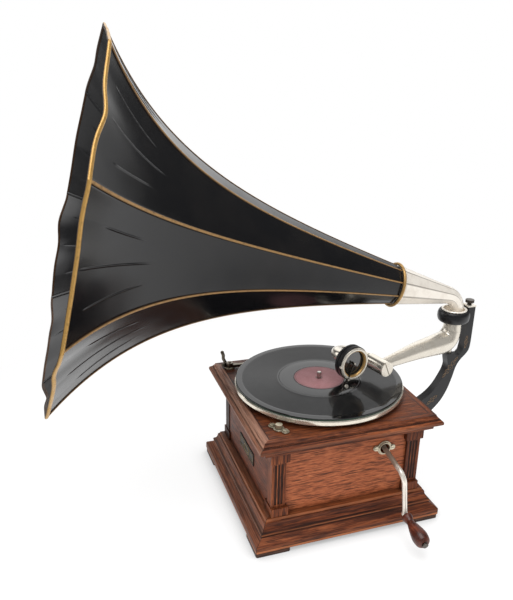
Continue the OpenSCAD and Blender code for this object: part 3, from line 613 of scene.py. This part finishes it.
gilding("gold_paint", srgb(178, 140, 92), srgb(62, 44, 30), 0.45, wear=0.85)
gilding("gold_rim", srgb(194, 152, 84), srgb(64, 42, 24), 0.34, wear=0.55)
gilding("gold_line", srgb(150, 122, 92), srgb(78, 64, 52), 0.5, wear=0.7)
lacquer("horn_black", srgb(14, 14, 16), srgb(34, 31, 29), 0.16, wave=0.6, dirt=0.35)
lacquer("bracket_black", srgb(23, 23, 25), srgb(38, 36, 36), 0.27)
lacquer("enamel_black", srgb(18, 18, 19), srgb(40, 38, 36), 0.24)
lacquer("rubber_black", srgb(22, 21, 21), srgb(50, 47, 44), 0.55, dirt=0.5)
cloth("felt_green", srgb(16, 34, 24), srgb(34, 62, 44))
paper("label_paper", srgb(162, 106, 110), srgb(188, 138, 140))
disc("shellac_groove", 0.42, 0.08)
disc("shellac_smooth", 0.09, 0.0)
crank_metal("crank_plate")
grip_wood("grip_wood")
mica("mica")

NODE_LOOK = {
    "oak_foot": ["feet"],
    "oak_plinth": ["plinth"],
    "plain_board": ["bottom_board"],
    "oak_front": ["case_front", "case_back"],
    "oak_side_lit": ["case_left", "case_right"],
    "oak_post": ["pilasters"],
    "oak_cornice": ["cornice"],
    "oak_board": ["motor_board"],
    "plate": ["name_plate"],
    "nickel_rim": ["turntable"],
    "felt_green": ["turntable_felt"],
    "steel": ["needle", "mainspring", "spindle"],
    "label_paper": ["record_label"],
    "nickel_pale": ["deck_plates", "crank_escutcheon", "speed_knob", "screws"],
    "pewter": ["brake_lever"],
    "crank_plate": ["crank"],
    "grip_wood": ["crank_grip"],
    "bracket_black": ["bracket"],
    "nickel": ["bracket_cap", "sleeve_cap", "sound_box_ring", "needle_screw"],
    "nickel_mirror": ["arm_sleeve", "gooseneck"],
    "dark_steel": ["thumb_screw", "stylus_bar"],
    "rubber_black": ["sound_box_rubber"],
    "enamel_black": ["sound_box_shell"],
    "brass": ["spring_barrel", "intermediate_gear", "governor"],
    "old_brass": ["sound_box_bezel", "throat_ring"],
    "mica": ["diaphragm"],
    "iron": ["motor_plate", "motor_frame", "winding_arbor", "motor_brackets"],
}

# Edges sharper than this angle in degrees are rounded, by the radius of the solid in mm
EDGE_ANGLE = 32
NODE_EDGE = {
    "feet": 2.4, "plinth": 0.7, "cornice": 0.6, "motor_board": 0.5, "pilasters": 0.7,
    "case_front": 0.4, "case_back": 0.4, "case_left": 0.4, "case_right": 0.3,
    "bottom_board": 0.5, "name_plate": 0.3, "deck_plates": 0.5, "crank_escutcheon": 0.5,
    "brake_lever": 0.7, "speed_knob": 0.4, "thumb_screw": 0.4, "bracket": 2.6,
    "bracket_cap": 0.5, "sleeve_cap": 0.4, "sound_box_ring": 0.3, "sound_box_bezel": 0.25,
    "screws": 0.25, "stylus_bar": 0.25, "needle_screw": 0.3,
}


def dress_nodes():
    for look, names in NODE_LOOK.items():
        for name in names:
            mesh = NODES[name].data
            mesh.materials.clear()
            mesh.materials.append(LOOK[look])


def round_edges():
    """Modifiers that round the edges; the mesh itself stays."""
    for name, size in NODE_EDGE.items():
        solid = NODES[name]
        weld = solid.modifiers.new("weld", "WELD")
        weld.merge_threshold = 0.01 * MM
        bevel = solid.modifiers.new("round", "BEVEL")
        bevel.width = size * MM
        bevel.segments = 3
        bevel.limit_method = "ANGLE"
        bevel.angle_limit = math.radians(EDGE_ANGLE)
        normals = solid.modifiers.new("normals", "WEIGHTED_NORMAL")
        normals.keep_sharp = False


# Mesh pieces


def add_object(name, data):
    """Object in the scene that shows the data."""
    made = bpy.data.objects.new(name, data)
    bpy.context.scene.collection.objects.link(made)
    return made


def new_piece(name, points, faces, body, looks, sharp=None, index=None):
    """Object from points in mm, in the shared frame; it moves with the body."""
    mesh = bpy.data.meshes.new(name)
    mesh.from_pydata((np.asarray(points, float) * MM).tolist(), [], faces)
    for look in looks:
        mesh.materials.append(LOOK[look])
    mesh.shade_smooth()
    if sharp is not None:
        mesh.set_sharp_from_angle(angle=math.radians(sharp))
    if index is not None:
        mesh.polygons.foreach_set("material_index", index)
    mesh.update()
    piece = add_object(name, mesh)
    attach(piece, body)
    return piece


def write_share(piece, name, values):
    """Number from 0 to 1 at each point, for the material to read."""
    layer = piece.data.attributes.new(name, "FLOAT", "POINT")
    layer.data.foreach_set("value", np.asarray(values, np.float32))


def grid_faces(rows, cols, closed, first):
    """Faces between the rows of a grid whose points start at first."""
    faces = []
    for r in range(rows - 1):
        for c in range(cols if closed else cols - 1):
            d = (c + 1) % cols
            faces.append((first + r * cols + c, first + r * cols + d,
                          first + (r + 1) * cols + d, first + (r + 1) * cols + c))
    return faces


# Direction that no tube runs along, from which its sides are counted
TUBE_UP = (0.31, 0.17, 0.93)


class Batch:
    """Several grids of points in one mesh."""

    def __init__(self):
        self.points = []
        self.faces = []
        self.shares = []

    def grid(self, grid, closed=False, shares=None):
        rows = len(grid)
        cols = len(grid[0])
        self.faces += grid_faces(rows, cols, closed, len(self.points))
        for r, row in enumerate(grid):
            self.points += [tuple(p) for p in row]
            self.shares += [0.0] * cols if shares is None else list(shares[r])

    def lathe(self, profile, place, segments=64):
        """Turned surface from radius and height, about the Z axis of the place."""
        angles = np.arange(segments) * 2 * math.pi / segments
        rows = []
        for r, z in profile:
            ring = np.stack([r * np.cos(angles), r * np.sin(angles), np.full(segments, z)], 1)
            rows.append(moved(place, ring))
        self.grid(rows, True)

    def tube(self, path, radius, sides, closed=False):
        """Round rod along a path, with its ends drawn to a point or joined."""
        path = np.asarray(path, float)
        count = len(path)
        sizes = np.full(count, float(radius))
        if closed:
            ahead = np.roll(path, -1, 0) - np.roll(path, 1, 0)
        else:
            ahead = np.gradient(path, axis=0)
            sizes[[0, -1]] = 0.02
        ahead = unit(ahead)
        side = unit(np.cross(ahead, TUBE_UP))
        other = np.cross(ahead, side)
        turns = np.arange(sides) * 2 * math.pi / sides
        rows = []
        for p, a, b, size in zip(path, side, other, sizes):
            rows.append(p + size * (np.cos(turns)[:, None] * a + np.sin(turns)[:, None] * b))
        if closed:
            rows.append(rows[0])
        self.grid(rows, True)

    def piece(self, name, body, slot, looks, sharp=None):
        return new_piece(name, self.points, self.faces, body, looks, sharp)


def smooth_curve(points, steps):
    """Catmull-Rom curve through the points."""
    p = np.asarray(points, float)
    out = []
    for i in range(len(p) - 1):
        a = p[max(i - 1, 0)]
        b = p[i]
        c = p[i + 1]
        d = p[min(i + 2, len(p) - 1)]
        for k in range(steps):
            t = k / steps
            out.append(0.5 * (2 * b + (c - a) * t + (2 * a - 5 * b + 4 * c - d) * t * t
                              + (3 * b - a - 3 * c + d) * t ** 3))
    out.append(p[-1])
    return np.array(out)


# Horn


def flare(s):
    """Radius of the horn's seams, s along its axis from the throat."""
    return THROAT_R + FLARE_K * s + FLARE_E * (np.exp(s / FLARE_M) - 1)


def facet(a, share):
    """Radius at an angle as a part of that at the seams: round at share 0, flat panels at 1."""
    off = np.abs((a - SEAM_0) % SPAN - SPAN / 2)
    return 1 - share + share * math.cos(math.radians(SPAN / 2)) / np.cos(np.radians(off))


def horn_radius(s, a):
    """Radius of the horn, whose panels get flatter towards the rim."""
    return flare(s) * facet(a, 0.45 + 0.5 * s / HORN_LEN)


# How far in from the rim its waves reach, in mm
RIM_ZONE = 90
# Waves of the rim by panel: place across it, width, depth towards the throat in mm
RIM_WAVES = (
    [(0.46, 0.15, 5.5)],
    [(0.5, 0.25, 0.8)],
    [(0.6, 0.2, 2.4)],
    [(0.45, 0.25, -1.5)],
    [(0.28, 0.16, -6), (0.7, 0.2, -2.5)],
    [(0.27, 0.15, 3.6), (0.55, 0.2, 2)],
    [(0.4, 0.2, 4.5)],
    [(0.72, 0.12, -2.5)],
    [(0.8, 0.15, -1.2)],
)
# How far the rim reaches beyond its plane at the first seam of each panel, in mm
RIM_REACH = (3.5, -0.5, -1.2, 0.0, 0.0, 0.0, -0.5, -2.0, 1.1)
# Darts of the near panels and of the others: start from the rim and length in mm
DARTS = {0: [(22, 46), (10, 78), (14, 56)], 8: [(14, 62), (6, 78), (24, 44)],
         7: [(26, 64), (12, 84), (30, 52)]}
FAR_DARTS = [(18, 60), (8, 84), (16, 56)]
DART_SIDES = (-1, 0, 1)
DART_HALF = 1.1
DART_HIGH = 0.9
DART_FOOT = 1.7
# Section of a dart: place across it in half widths, share of its height
DART_SECTION = ((-DART_FOOT, 0.0), (-1, 0.0), (-0.6, 0.8), (0, 1.0), (0.6, 0.8), (1, 0.0),
                (DART_FOOT, 0.0))
# Thickness of the sheet
SHEET = 1.0
# Seam beads: half width and height at the throat, and their gain at the rim, in mm
SEAM_HALF = 1.25
SEAM_HALF_GAIN = 0.75
SEAM_HIGH = 0.9
SEAM_HIGH_GAIN = 0.5
# Laps of the seams inside the horn
LAP_HALF = 2.2
LAP_HIGH = 0.9
# Rolled rim: half sizes along the sheet and across it
ROLL_ALONG = 2.9
ROLL_ACROSS = 2.1


def rim_dip(k, u):
    """Depth of the rim's waves, none at the seams."""
    dip = np.zeros_like(u)
    for place, width, depth in RIM_WAVES[k]:
        dip += depth * np.exp(-((u - place) / width) ** 2)
    ease = np.clip(np.minimum(u, 1 - u) / 0.12, 0, 1)
    return dip * ease * ease * (3 - 2 * ease)


def rim_reach(k, u):
    """Reach of the rim, eased from one seam to the next."""
    first = RIM_REACH[k]
    last = RIM_REACH[(k + 1) % PANELS]
    return first + (last - first) * u * u * (3 - 2 * u)


def dart_place(s, side):
    """Darts lie closer together towards the throat."""
    return 0.5 + side * (0.31 - 0.0011 * np.clip(HORN_LEN - s, 0, 110))


def rim_pucker(u):
    """The rim is drawn in at the darts and bulges between them."""
    pull = np.zeros_like(u)
    for side in DART_SIDES:
        pull -= 0.5 * np.exp(-((u - dart_place(HORN_LEN, side)) / 0.04) ** 2)
    return pull + 0.3 * np.sin(4 * math.pi * u) ** 2


def horn_point(k, s, u, lift=0.0):
    """Point of panel k, s along the axis and u across the panel, in the horn's frame."""
    s = np.asarray(s, float)
    u = np.asarray(u, float)
    a = SEAM_0 + SPAN * (k + u)
    near = np.clip((s - (HORN_LEN - RIM_ZONE)) / RIM_ZONE, 0, 1)
    near = near * near
    along = s + near * rim_reach(k, u)
    r = horn_radius(along, a) + near * near * rim_pucker(u) + lift
    z = along - near * rim_dip(k, u)
    a = np.radians(a)
    return np.stack([r * np.cos(a), r * np.sin(a), z], -1)


def dart_height(k, s, n):
    """Height of dart n of panel k, s along the axis."""
    start, length = DARTS.get(k, FAR_DARTS)[n]
    along = (HORN_LEN - s - start) / length
    if along <= 0 or along >= 1:
        return 0.0
    return DART_HIGH * min(1, along / 0.06, (1 - along) / 0.3)


def panel_row(k, s):
    """One row of a panel, with more points at the darts."""
    width = 2 * flare(s) * math.sin(math.radians(SPAN / 2))
    half = min(DART_HALF / width, 0.035)
    us = [0.0]
    highs = [0.0]
    for n, side in enumerate(DART_SIDES):
        middle = dart_place(s, side)
        top = dart_height(k, s, n)
        for u in np.linspace(us[-1], middle - DART_FOOT * half, 8)[1:-1]:
            us.append(u)
            highs.append(0.0)
        for step, share in DART_SECTION:
            us.append(middle + step * half)
            highs.append(top * share)
    for u in np.linspace(us[-1], 1, 8)[1:]:
        us.append(u)
        highs.append(0.0)
    row_s = np.full(len(us), s)
    return horn_point(k, row_s, np.array(us), np.array(highs))


def horn_rows(count):
    """Places along the axis, closer together towards the rim."""
    t = np.linspace(0, 1, count)
    return HORN_LEN * (1 - (1 - t) ** 1.35)


def build_panels():
    rows = horn_rows(96)
    for k in range(PANELS):
        batch = Batch()
        batch.grid([moved(AT_HORN, panel_row(k, s)) for s in rows])
        name = "horn_sheet_%d" % (k + 1)
        piece = batch.piece(name, "horn", "horn_black", ["horn_black"])
        sheet = piece.modifiers.new("sheet", "SOLIDIFY")
        sheet.thickness = SHEET * MM
        sheet.offset = -1
        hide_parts("horn_panel_%d" % (k + 1))


def seam_frame(k, rows):
    """Points of one seam with their outward and sideways directions."""
    path = horn_point(k, rows, np.zeros(len(rows)))
    ahead = unit(np.gradient(path, axis=0))
    angle = math.radians(SEAM_0 + SPAN * k)
    side = np.array([-math.sin(angle), math.cos(angle), 0])
    out = np.cross(np.broadcast_to(side, ahead.shape), ahead)
    return path, out, side


def build_seams():
    """Gilt beads outside the seams and laps inside them."""
    rows = horn_rows(64)
    rows[0] = 4.5
    rows[-1] = HORN_LEN - 0.5
    bead = Batch()
    lap = Batch()
    profile = [(-1, -0.6), (-1, 0.25), (-0.72, 0.75), (-0.3, 1), (0.3, 1), (0.72, 0.75),
               (1, 0.25), (1, -0.6)]
    edge = [1, 0.95, 0.35, 0, 0, 0.35, 0.95, 1]
    inner = [(-1, 0.4), (-1, -0.8), (-0.6, -1.3), (0.6, -1.3), (1, -0.8), (1, 0.4)]
    for k in range(PANELS):
        path, out, side = seam_frame(k, rows)
        strip = []
        fold = []
        for p, n, s in zip(path, out, rows):
            half = SEAM_HALF + SEAM_HALF_GAIN * s / HORN_LEN
            high = SEAM_HIGH + SEAM_HIGH_GAIN * s / HORN_LEN
            strip.append([p + side * half * x + n * high * y for x, y in profile])
            fold.append([p - n * SHEET + side * LAP_HALF * x + n * LAP_HIGH * y for x, y in inner])
        bead.grid([moved(AT_HORN, r) for r in strip], False, [edge] * len(strip))
        lap.grid([moved(AT_HORN, r) for r in fold])
    piece = bead.piece("horn_seam_beads", "horn", "gold_paint", ["gold_paint"])
    write_share(piece, "edge", bead.shares)
    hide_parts("horn_seams")
    lap.piece("horn_seam_laps", "horn", "horn_black", ["horn_black"])


def build_rim():
    """Rolled rim that follows the waves of the nine panels."""
    us = np.linspace(0, 1, 41)[:-1]
    at_rim = np.full(len(us), HORN_LEN)
    path = np.concatenate([horn_point(k, at_rim, us) for k in range(PANELS)])
    inside = np.concatenate([horn_point(k, at_rim - 6.0, us) for k in range(PANELS)])
    slope = unit(path - inside)
    ahead = unit(np.roll(path, -1, 0) - np.roll(path, 1, 0))
    out = np.cross(ahead, slope)
    turns = np.arange(12) * 2 * math.pi / 12
    rows = []
    shares = []
    for p, a, b in zip(path, slope, out):
        roll = ROLL_ALONG * np.cos(turns)[:, None] * a + ROLL_ACROSS * np.sin(turns)[:, None] * b
        rows.append(p - 0.6 * a + roll)
        shares.append(np.clip(0.35 - np.sin(turns) * 1.6, 0, 1))
    rows.append(rows[0])
    shares.append(shares[0])
    batch = Batch()
    batch.grid([moved(AT_HORN, r) for r in rows], True, shares)
    piece = batch.piece("horn_rim_bead", "horn", "gold_paint", ["gold_rim"])
    write_share(piece, "edge", batch.shares)
    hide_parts("horn_rim")


def line_ring(forward, z, lean, radius, share, count):
    """Closed ring about a point of a centre line that runs forward and leans."""
    a = SEAM_0 + 360 * np.arange(count) / count
    r = radius * facet(a, share)
    lean = math.radians(lean)
    a = np.radians(a)
    return np.stack([r * np.cos(a), -forward + r * np.sin(a) * math.cos(lean),
                     z + r * np.sin(a) * math.sin(lean)], 1)


def elbow_line():
    """Centre line of the elbow: forward, height, lean, radius and share of the facets."""
    points = [(-EL_ECC, RING_Z1 - 5.4, 0, EL_END, 0), (-EL_ECC, RING_Z1 + 0.4, 0, EL_END, 0)]
    for i in range(1, 25):
        share = i / 24
        t = math.radians(EL_TH * share)
        points.append((EL_RB - EL_ECC - EL_RB * math.cos(t), RING_Z1 + EL_RB * math.sin(t),
                       EL_TH * share, EL_END + (EL_MID - EL_END) * share, 0.75 * share))
    for i in range(1, 17):
        run = (EL_LEN - 2) * i / 16
        points.append((EL_RB - EL_ECC - EL_RB * EL_COS + run * EL_SIN,
                       RING_Z1 + EL_RB * EL_SIN + run * EL_COS, EL_TH,
                       EL_MID + (EL_TOP - EL_MID) * i / 16, min(0.95, 0.75 + 0.05 * i)))
    return points


def build_elbow():
    """Faceted tube with its wall, the flange at its foot and the collar at the throat."""
    count = 90
    off = np.abs((360 * np.arange(count) / count) % SPAN - SPAN / 2)
    crease = np.clip((off - 17.5) / 2, 0, 1)
    rings = []
    shares = []
    for forward, z, lean, radius, share in elbow_line():
        rings.append(moved(AT_ELBOW, line_ring(forward, z, lean, radius, share, count)))
        shares.append(crease * min(1, share * 1.3))
    batch = Batch()
    batch.grid(rings, True, shares)
    inner = [moved(AT_ELBOW, line_ring(f, z, lean, r - EL_WALL, s, count))
             for f, z, lean, r, s in elbow_line()]
    batch.grid(inner[::-1], True)
    flange = [(6, -9), (17.6, -9), (17.6, 0.3), (19.4, 0.3), (20, 0.8), (20, 1.8), (19.4, 2.3),
              (17.2, 2.3), (16.6, 1.7), (16.4, -5.4), (6, -5.4)]
    batch.lathe([(r, RING_Z1 + z) for r, z in flange], AT_ELBOW)
    collar = [(-3.4, -4.6), (0.2, -4.6), (0.9, -4), (0.9, -1), (0.4, -0.6), (-3.4, -0.6)]
    batch.lathe([(THROAT_R + r, z) for r, z in collar], AT_HORN, 90)
    piece = batch.piece("horn_elbow_tube", "horn", "nickel", ["nickel_elbow"], 34)
    write_share(piece, "crease", batch.shares)
    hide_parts("horn_elbow")


# Tone arm


def build_arm():
    """Tapered tube; its centre line is forward, height, lean and radius."""
    line = smooth_curve([
        (143, SLEEVE_Z + 1.4, -85, 7.9), (110, SLEEVE_Z + 4.6, -85.5, 10.7),
        (77, DECK_H + 48.6, -86, 13.6), (50, DECK_H + 49.6, -86, 15.6),
        (27, DECK_H + 50.4, -86, 17.2), (14.5, DECK_H + 52.2, -68, 17.4),
        (6, DECK_H + 57.5, -40, 16.6), (1.4, RING_Z0 - 18, -14, 15.2),
        (0, RING_Z0 - 9, 0, 14.2), (0, RING_Z0 + 9, 0, 14)], 6)
    batch = Batch()
    batch.grid([moved(AT_ARM, line_ring(f, z, lean, r, 0, 48)) for f, z, lean, r in line], True)
    collar = [(13.4, RING_Z0 + 0.6), (17.6, RING_Z0 + 0.6), (17.6, RING_Z0 + 7.6),
              (13.4, RING_Z0 + 7.6)]
    batch.lathe(collar, AT_ARM)
    pin = [(0.1, DECK_H + 20), (3.4, DECK_H + 20), (4, DECK_H + 20.6), (4, DECK_H + 36)]
    batch.lathe(pin, AT_ARM, 40)
    piece = batch.piece("tone_arm_tube", "arm", "nickel", ["nickel"], 50)
    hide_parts("tone_arm")


# Record


def build_record():
    """Disc with a raised rim band, the groove field and the smooth middle."""
    segments = 256
    profile = [(BORE_R, -2), (RECORD_R - 0.6, -2), (RECORD_R - 0.1, -1.6),
               (RECORD_R, -1), (RECORD_R - 0.1, -0.4), (RECORD_R - 0.6, 0), (RECORD_R - 6, 0),
               (RECORD_R - 8.4, 0), (RECORD_R - 9.4, -0.2)]
    groove = [(r, -0.2) for r in np.linspace(RECORD_R - 9.5, 63.2, 10)]
    middle = [(62.4, -0.06), (61.6, -0.06), (60.8, -0.14), (60, -0.06), (45, -0.05),
              (BORE_R, -0.05), (BORE_R, -2)]
    rings = profile + groove + middle
    batch = Batch()
    batch.lathe([(r, REC_Z + z) for r, z in rings], np.eye(4), segments)
    first = len(profile) - 1
    last = len(profile) + len(groove) - 1
    index = []
    for row in range(len(rings) - 1):
        index += [1 if first <= row < last else 0] * segments
    piece = new_piece("record_disc", batch.points, batch.faces, "turntable",
                      ["shellac_smooth", "shellac_groove"], 20, index)
    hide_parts("record")


# Small fittings


def on_bracket(path):
    """[y, z] line laid on the bracket's right face."""
    return np.stack([np.full(len(path), BRACKET_FACE), path[:, 0], path[:, 1]], 1)


def braid(batch, start, end, eyes, swing):
    """Two strands that cross, widest in the middle, with beads in the inner eyes, [y, z]."""
    start = np.array(start, float)
    end = np.array(end, float)
    along = end - start
    across = np.array([-along[1], along[0]]) / np.linalg.norm(along)
    t = np.linspace(0, 1, 12 * eyes + 1)
    sway = swing * np.sin(math.pi * eyes * t) * np.sin(math.pi * t)
    for hand in (-1, 1):
        strand = start + t[:, None] * along + hand * sway[:, None] * across
        batch.tube(on_bracket(strand), 0.38, 6)
    bead = [(0.05, 0.5), (0.6, 0.4), (0.9, 0.1), (0.9, -0.3)]
    for k in range(1, eyes - 1):
        spot = on_bracket(np.array([start + (k + 0.5) / eyes * along]))[0]
        batch.lathe(bead, shift(*spot) @ turn("Y", 90), 12)


def build_scrolls():
    """Painted line ornament: plain braids that taper to both ends."""
    batch = Batch()
    braid(batch, (214.5, 159), (239.5, 194), 5, 4.6)
    braid(batch, (191, 113.8), (209, 128.4), 3, 3.8)
    braid(batch, (250.2, 207), (251.6, 229), 3, 3.0)
    batch.piece("bracket_scrolls", "case", "gold_paint", ["gold_line"])


def on_plate(path):
    """[x, z] line laid in the recess of the front plate."""
    return np.stack([path[:, 0], np.full(len(path), PLATE_FACE), path[:, 1]], 1)


def oval(a, b, count):
    """Oval about the middle of the front plate."""
    t = np.arange(count) * 2 * math.pi / count
    return np.stack([a * np.cos(t), PLATE_Z + b * np.sin(t)], 1)


def build_plate_ornament():
    """Plain ovals, a frame line and two rows of beads on the front plate."""
    batch = Batch()
    batch.tube(on_plate(oval(12, 6.2, 48)), 0.8, 8, True)
    batch.tube(on_plate(oval(9.2, 4.4, 40)), 0.45, 8, True)
    corners = [(30.5 * x, PLATE_Z + 5.2 * z) for x, z in ((-1, -1), (1, -1), (1, 1), (-1, 1))]
    for first, last in zip(corners, corners[1:] + corners[:1]):
        batch.tube(on_plate(np.linspace(first, last, 9)), 0.45, 8)
    ball = [(0.05, 0.75), (0.5, 0.6), (0.75, 0.2), (0.75, -0.3)]
    for x in np.linspace(-30, 30, 21):
        for z in (PLATE_Z - 6.7, PLATE_Z + 6.7):
            batch.lathe(ball, shift(x, PLATE_FACE, z) @ turn("X", 90), 10)
    batch.piece("plate_ornament", "case", "brass_plate", ["emboss"])


def build_lugs():
    """Small screw lugs at the edge of the sound box and the pin of its bar."""
    batch = Batch()
    for angle in (118, 186):
        place = AT_SOUND @ turn("X", angle) @ shift(1.6, 0, 24.8)
        batch.lathe([(0.1, 1.6), (1.5, 1.6), (1.9, 1.2), (1.9, -0.9), (1.4, -1.4), (0.1, -1.4)],
                    place @ turn("Y", 90), 20)
    head = [(0.05, 1.4), (0.9, 1.3), (1.5, 0.7), (1.6, 0)]
    batch.lathe(head, AT_SOUND @ shift(2.6, 0, 0) @ turn("Y", 90), 20)
    batch.piece("sound_box_lugs", "sound_box", "nickel", ["nickel"], 40)


# Stage


# Camera of the photograph: place in m, angles in degrees, focal length and centre in pixels
EYE = (0.826087, -0.367314, 0.629450)
AZIMUTH = 69.075
ELEVATION = 21.951
ROLL = 1.871
FOCAL_PX = 665.398
CENTRE_PX = (288.657, 327.869)
FRAME_PX = (513, 600)
SENSOR = 36
# Level of the world for all but polished surfaces
FILL_LIGHT = 0.6
# Half width of the floor, in mm
FLOOR_HALF = 4000
WHITE = (1, 1, 1, 1)


def build_camera():
    az = math.radians(AZIMUTH)
    el = math.radians(ELEVATION)
    roll = math.radians(ROLL)
    back = np.array([math.sin(az) * math.cos(el), -math.cos(az) * math.cos(el), math.sin(el)])
    right = np.array([math.cos(az), math.sin(az), 0])
    up = np.cross(back, right)
    m = np.eye(4)
    m[:3, 0] = math.cos(roll) * right + math.sin(roll) * up
    m[:3, 1] = -math.sin(roll) * right + math.cos(roll) * up
    m[:3, 2] = back
    m[:3, 3] = EYE
    data = bpy.data.cameras.new("camera")
    data.sensor_fit = "AUTO"
    data.sensor_width = SENSOR
    data.lens = FOCAL_PX / FRAME_PX[1] * SENSOR
    data.shift_x = (FRAME_PX[0] / 2 - CENTRE_PX[0]) / FRAME_PX[1]
    data.shift_y = (CENTRE_PX[1] - FRAME_PX[1] / 2) / FRAME_PX[1]
    data.clip_start = 0.01
    camera = add_object("camera", data)
    camera.matrix_world = Matrix(m.tolist())
    bpy.context.scene.camera = camera


def add_lamp(name, place, aim, size, power, mirrored):
    """Round area lamp; mirrored says whether polished surfaces show it."""
    data = bpy.data.lights.new(name, "AREA")
    data.shape = "DISK"
    data.size = size
    data.energy = power
    lamp = add_object(name, data)
    direction = Vector(place) - Vector(aim)
    lamp.rotation_euler = direction.to_track_quat("Z", "Y").to_euler()
    lamp.location = place
    lamp.visible_glossy = mirrored


def toward(azimuth, elevation):
    """Unit vector to a direction, degrees from +X and above the floor."""
    az = math.radians(azimuth)
    el = math.radians(elevation)
    return (math.cos(az) * math.cos(el), math.sin(az) * math.cos(el), math.sin(el))


def build_floor():
    """White floor that shows the shadow where the object stands, deepened close to it by a painted
    contact shadow, and fades into the backdrop.
    """
    batch = Batch()
    steps = np.linspace(-FLOOR_HALF, FLOOR_HALF, 9)
    batch.grid([[(x, y, -0.2) for x in steps] for y in steps])
    mesh = bpy.data.meshes.new("floor")
    mesh.from_pydata((np.array(batch.points) * MM).tolist(), [], batch.faces)
    g = new_material("floor_white")
    path = g.node("ShaderNodeLightPath").outputs
    seen = g.math("ADD", path["Is Camera Ray"], path["Is Glossy Ray"])
    seen = g.math("ADD", seen, path["Is Transmission Ray"], True)
    matte = g.node("ShaderNodeBsdfDiffuse", {"Color": (0.9, 0.9, 0.9, 1)})
    faint = g.node("ShaderNodeBsdfDiffuse", {"Color": (0.24, 0.24, 0.24, 1)})
    # Painted contact shadow: the floor's glow dims close to the object
    painted_contact_shadow = g.span(g.corner_shade(0.032), 0.3, 0.95, 0.4, 0.83)
    glow = g.node("ShaderNodeEmission", {"Color": WHITE, "Strength": painted_contact_shadow})
    near = g.node("ShaderNodeAddShader", {0: faint.outputs[0], 1: glow.outputs[0]})
    x, y, _ = g.split(g.place())
    far = g.from_axis(x, y)
    ahead = toward(115, 0)
    behind = g.math("ADD", g.times(x, ahead[0]), g.times(y, ahead[1]))
    mirrored = g.span(g.math("DIVIDE", behind, far), -0.1, 0.5, 0.2, 1.15, True)
    level = g.blend(path["Is Camera Ray"], mirrored, 1.0)
    white = g.node("ShaderNodeEmission", {"Color": WHITE, "Strength": level})
    shown = g.node("ShaderNodeMixShader", {
        0: g.span(far, 0.3, 0.75, 0.0, 1.0, True), 1: near.outputs[0], 2: white.outputs[0]})
    g.finish(g.node("ShaderNodeMixShader", {
        0: seen, 1: matte.outputs[0], 2: shown.outputs[0]}).outputs[0])
    mesh.materials.append(LOOK["floor_white"])
    floor = add_object("floor", mesh)


def glow_patch(g, direction, azimuth, elevation, inner, outer, level):
    """Soft round patch of light, with its full and its outer half angle."""
    dot = g.node("ShaderNodeVectorMath", operation="DOT_PRODUCT")
    g.put(dot.inputs[0], direction)
    dot.inputs[1].default_value = toward(azimuth, elevation)
    low = math.cos(math.radians(outer))
    high = math.cos(math.radians(inner))
    return g.span(dot.outputs["Value"], low, high, 0.0, level, True)


def build_world():
    """White backdrop behind the object and a lit screen in front, in a dim room."""
    world = bpy.data.worlds.new("studio")
    bpy.context.scene.world = world
    world.cycles.sampling_method = "NONE"
    g = Graph(world)
    path = g.node("ShaderNodeLightPath").outputs
    direction = g.node("ShaderNodeTexCoord").outputs["Generated"]
    height = g.split(direction)[2]
    backdrop = glow_patch(g, direction, 158, 28, 20, 36, 1.4)
    screen = glow_patch(g, direction, -124, 24, 12, 24, 1.8)
    horizon = g.span(height, 0.0, 0.16, 0.55, 0.1, True)
    room = g.math("MAXIMUM", g.math("MAXIMUM", backdrop, screen), horizon)
    polished = g.math("ADD", path["Is Glossy Ray"], path["Is Transmission Ray"], True)
    level = g.blend(polished, FILL_LIGHT, room)
    level = g.blend(path["Is Camera Ray"], level, 1.0)
    back = g.node("ShaderNodeBackground", {"Color": WHITE, "Strength": level})
    out = g.node("ShaderNodeOutputWorld")
    g.put(out.inputs[0], back.outputs[0])


def build_stage():
    build_camera()
    build_floor()
    build_world()
    add_lamp("lamp_top", (0.2, -0.3, 2.2), (0, 0, 0.1), size=1.8, power=30, mirrored=True)
    add_lamp("lamp_side", (1.9, 0.5, 1.3), (0, 0, 0.15), size=1.4, power=10, mirrored=False)
    add_lamp("lamp_front", (1.0, -1.4, 1.5), (0, -0.05, 0.15), size=1.0, power=14, mirrored=False)
    bpy.context.scene.view_settings.view_transform = "Standard"


dress_nodes()
round_edges()
build_panels()
build_seams()
build_rim()
build_elbow()
build_arm()
build_record()
build_scrolls()
build_plate_ornament()
build_lugs()
build_stage()
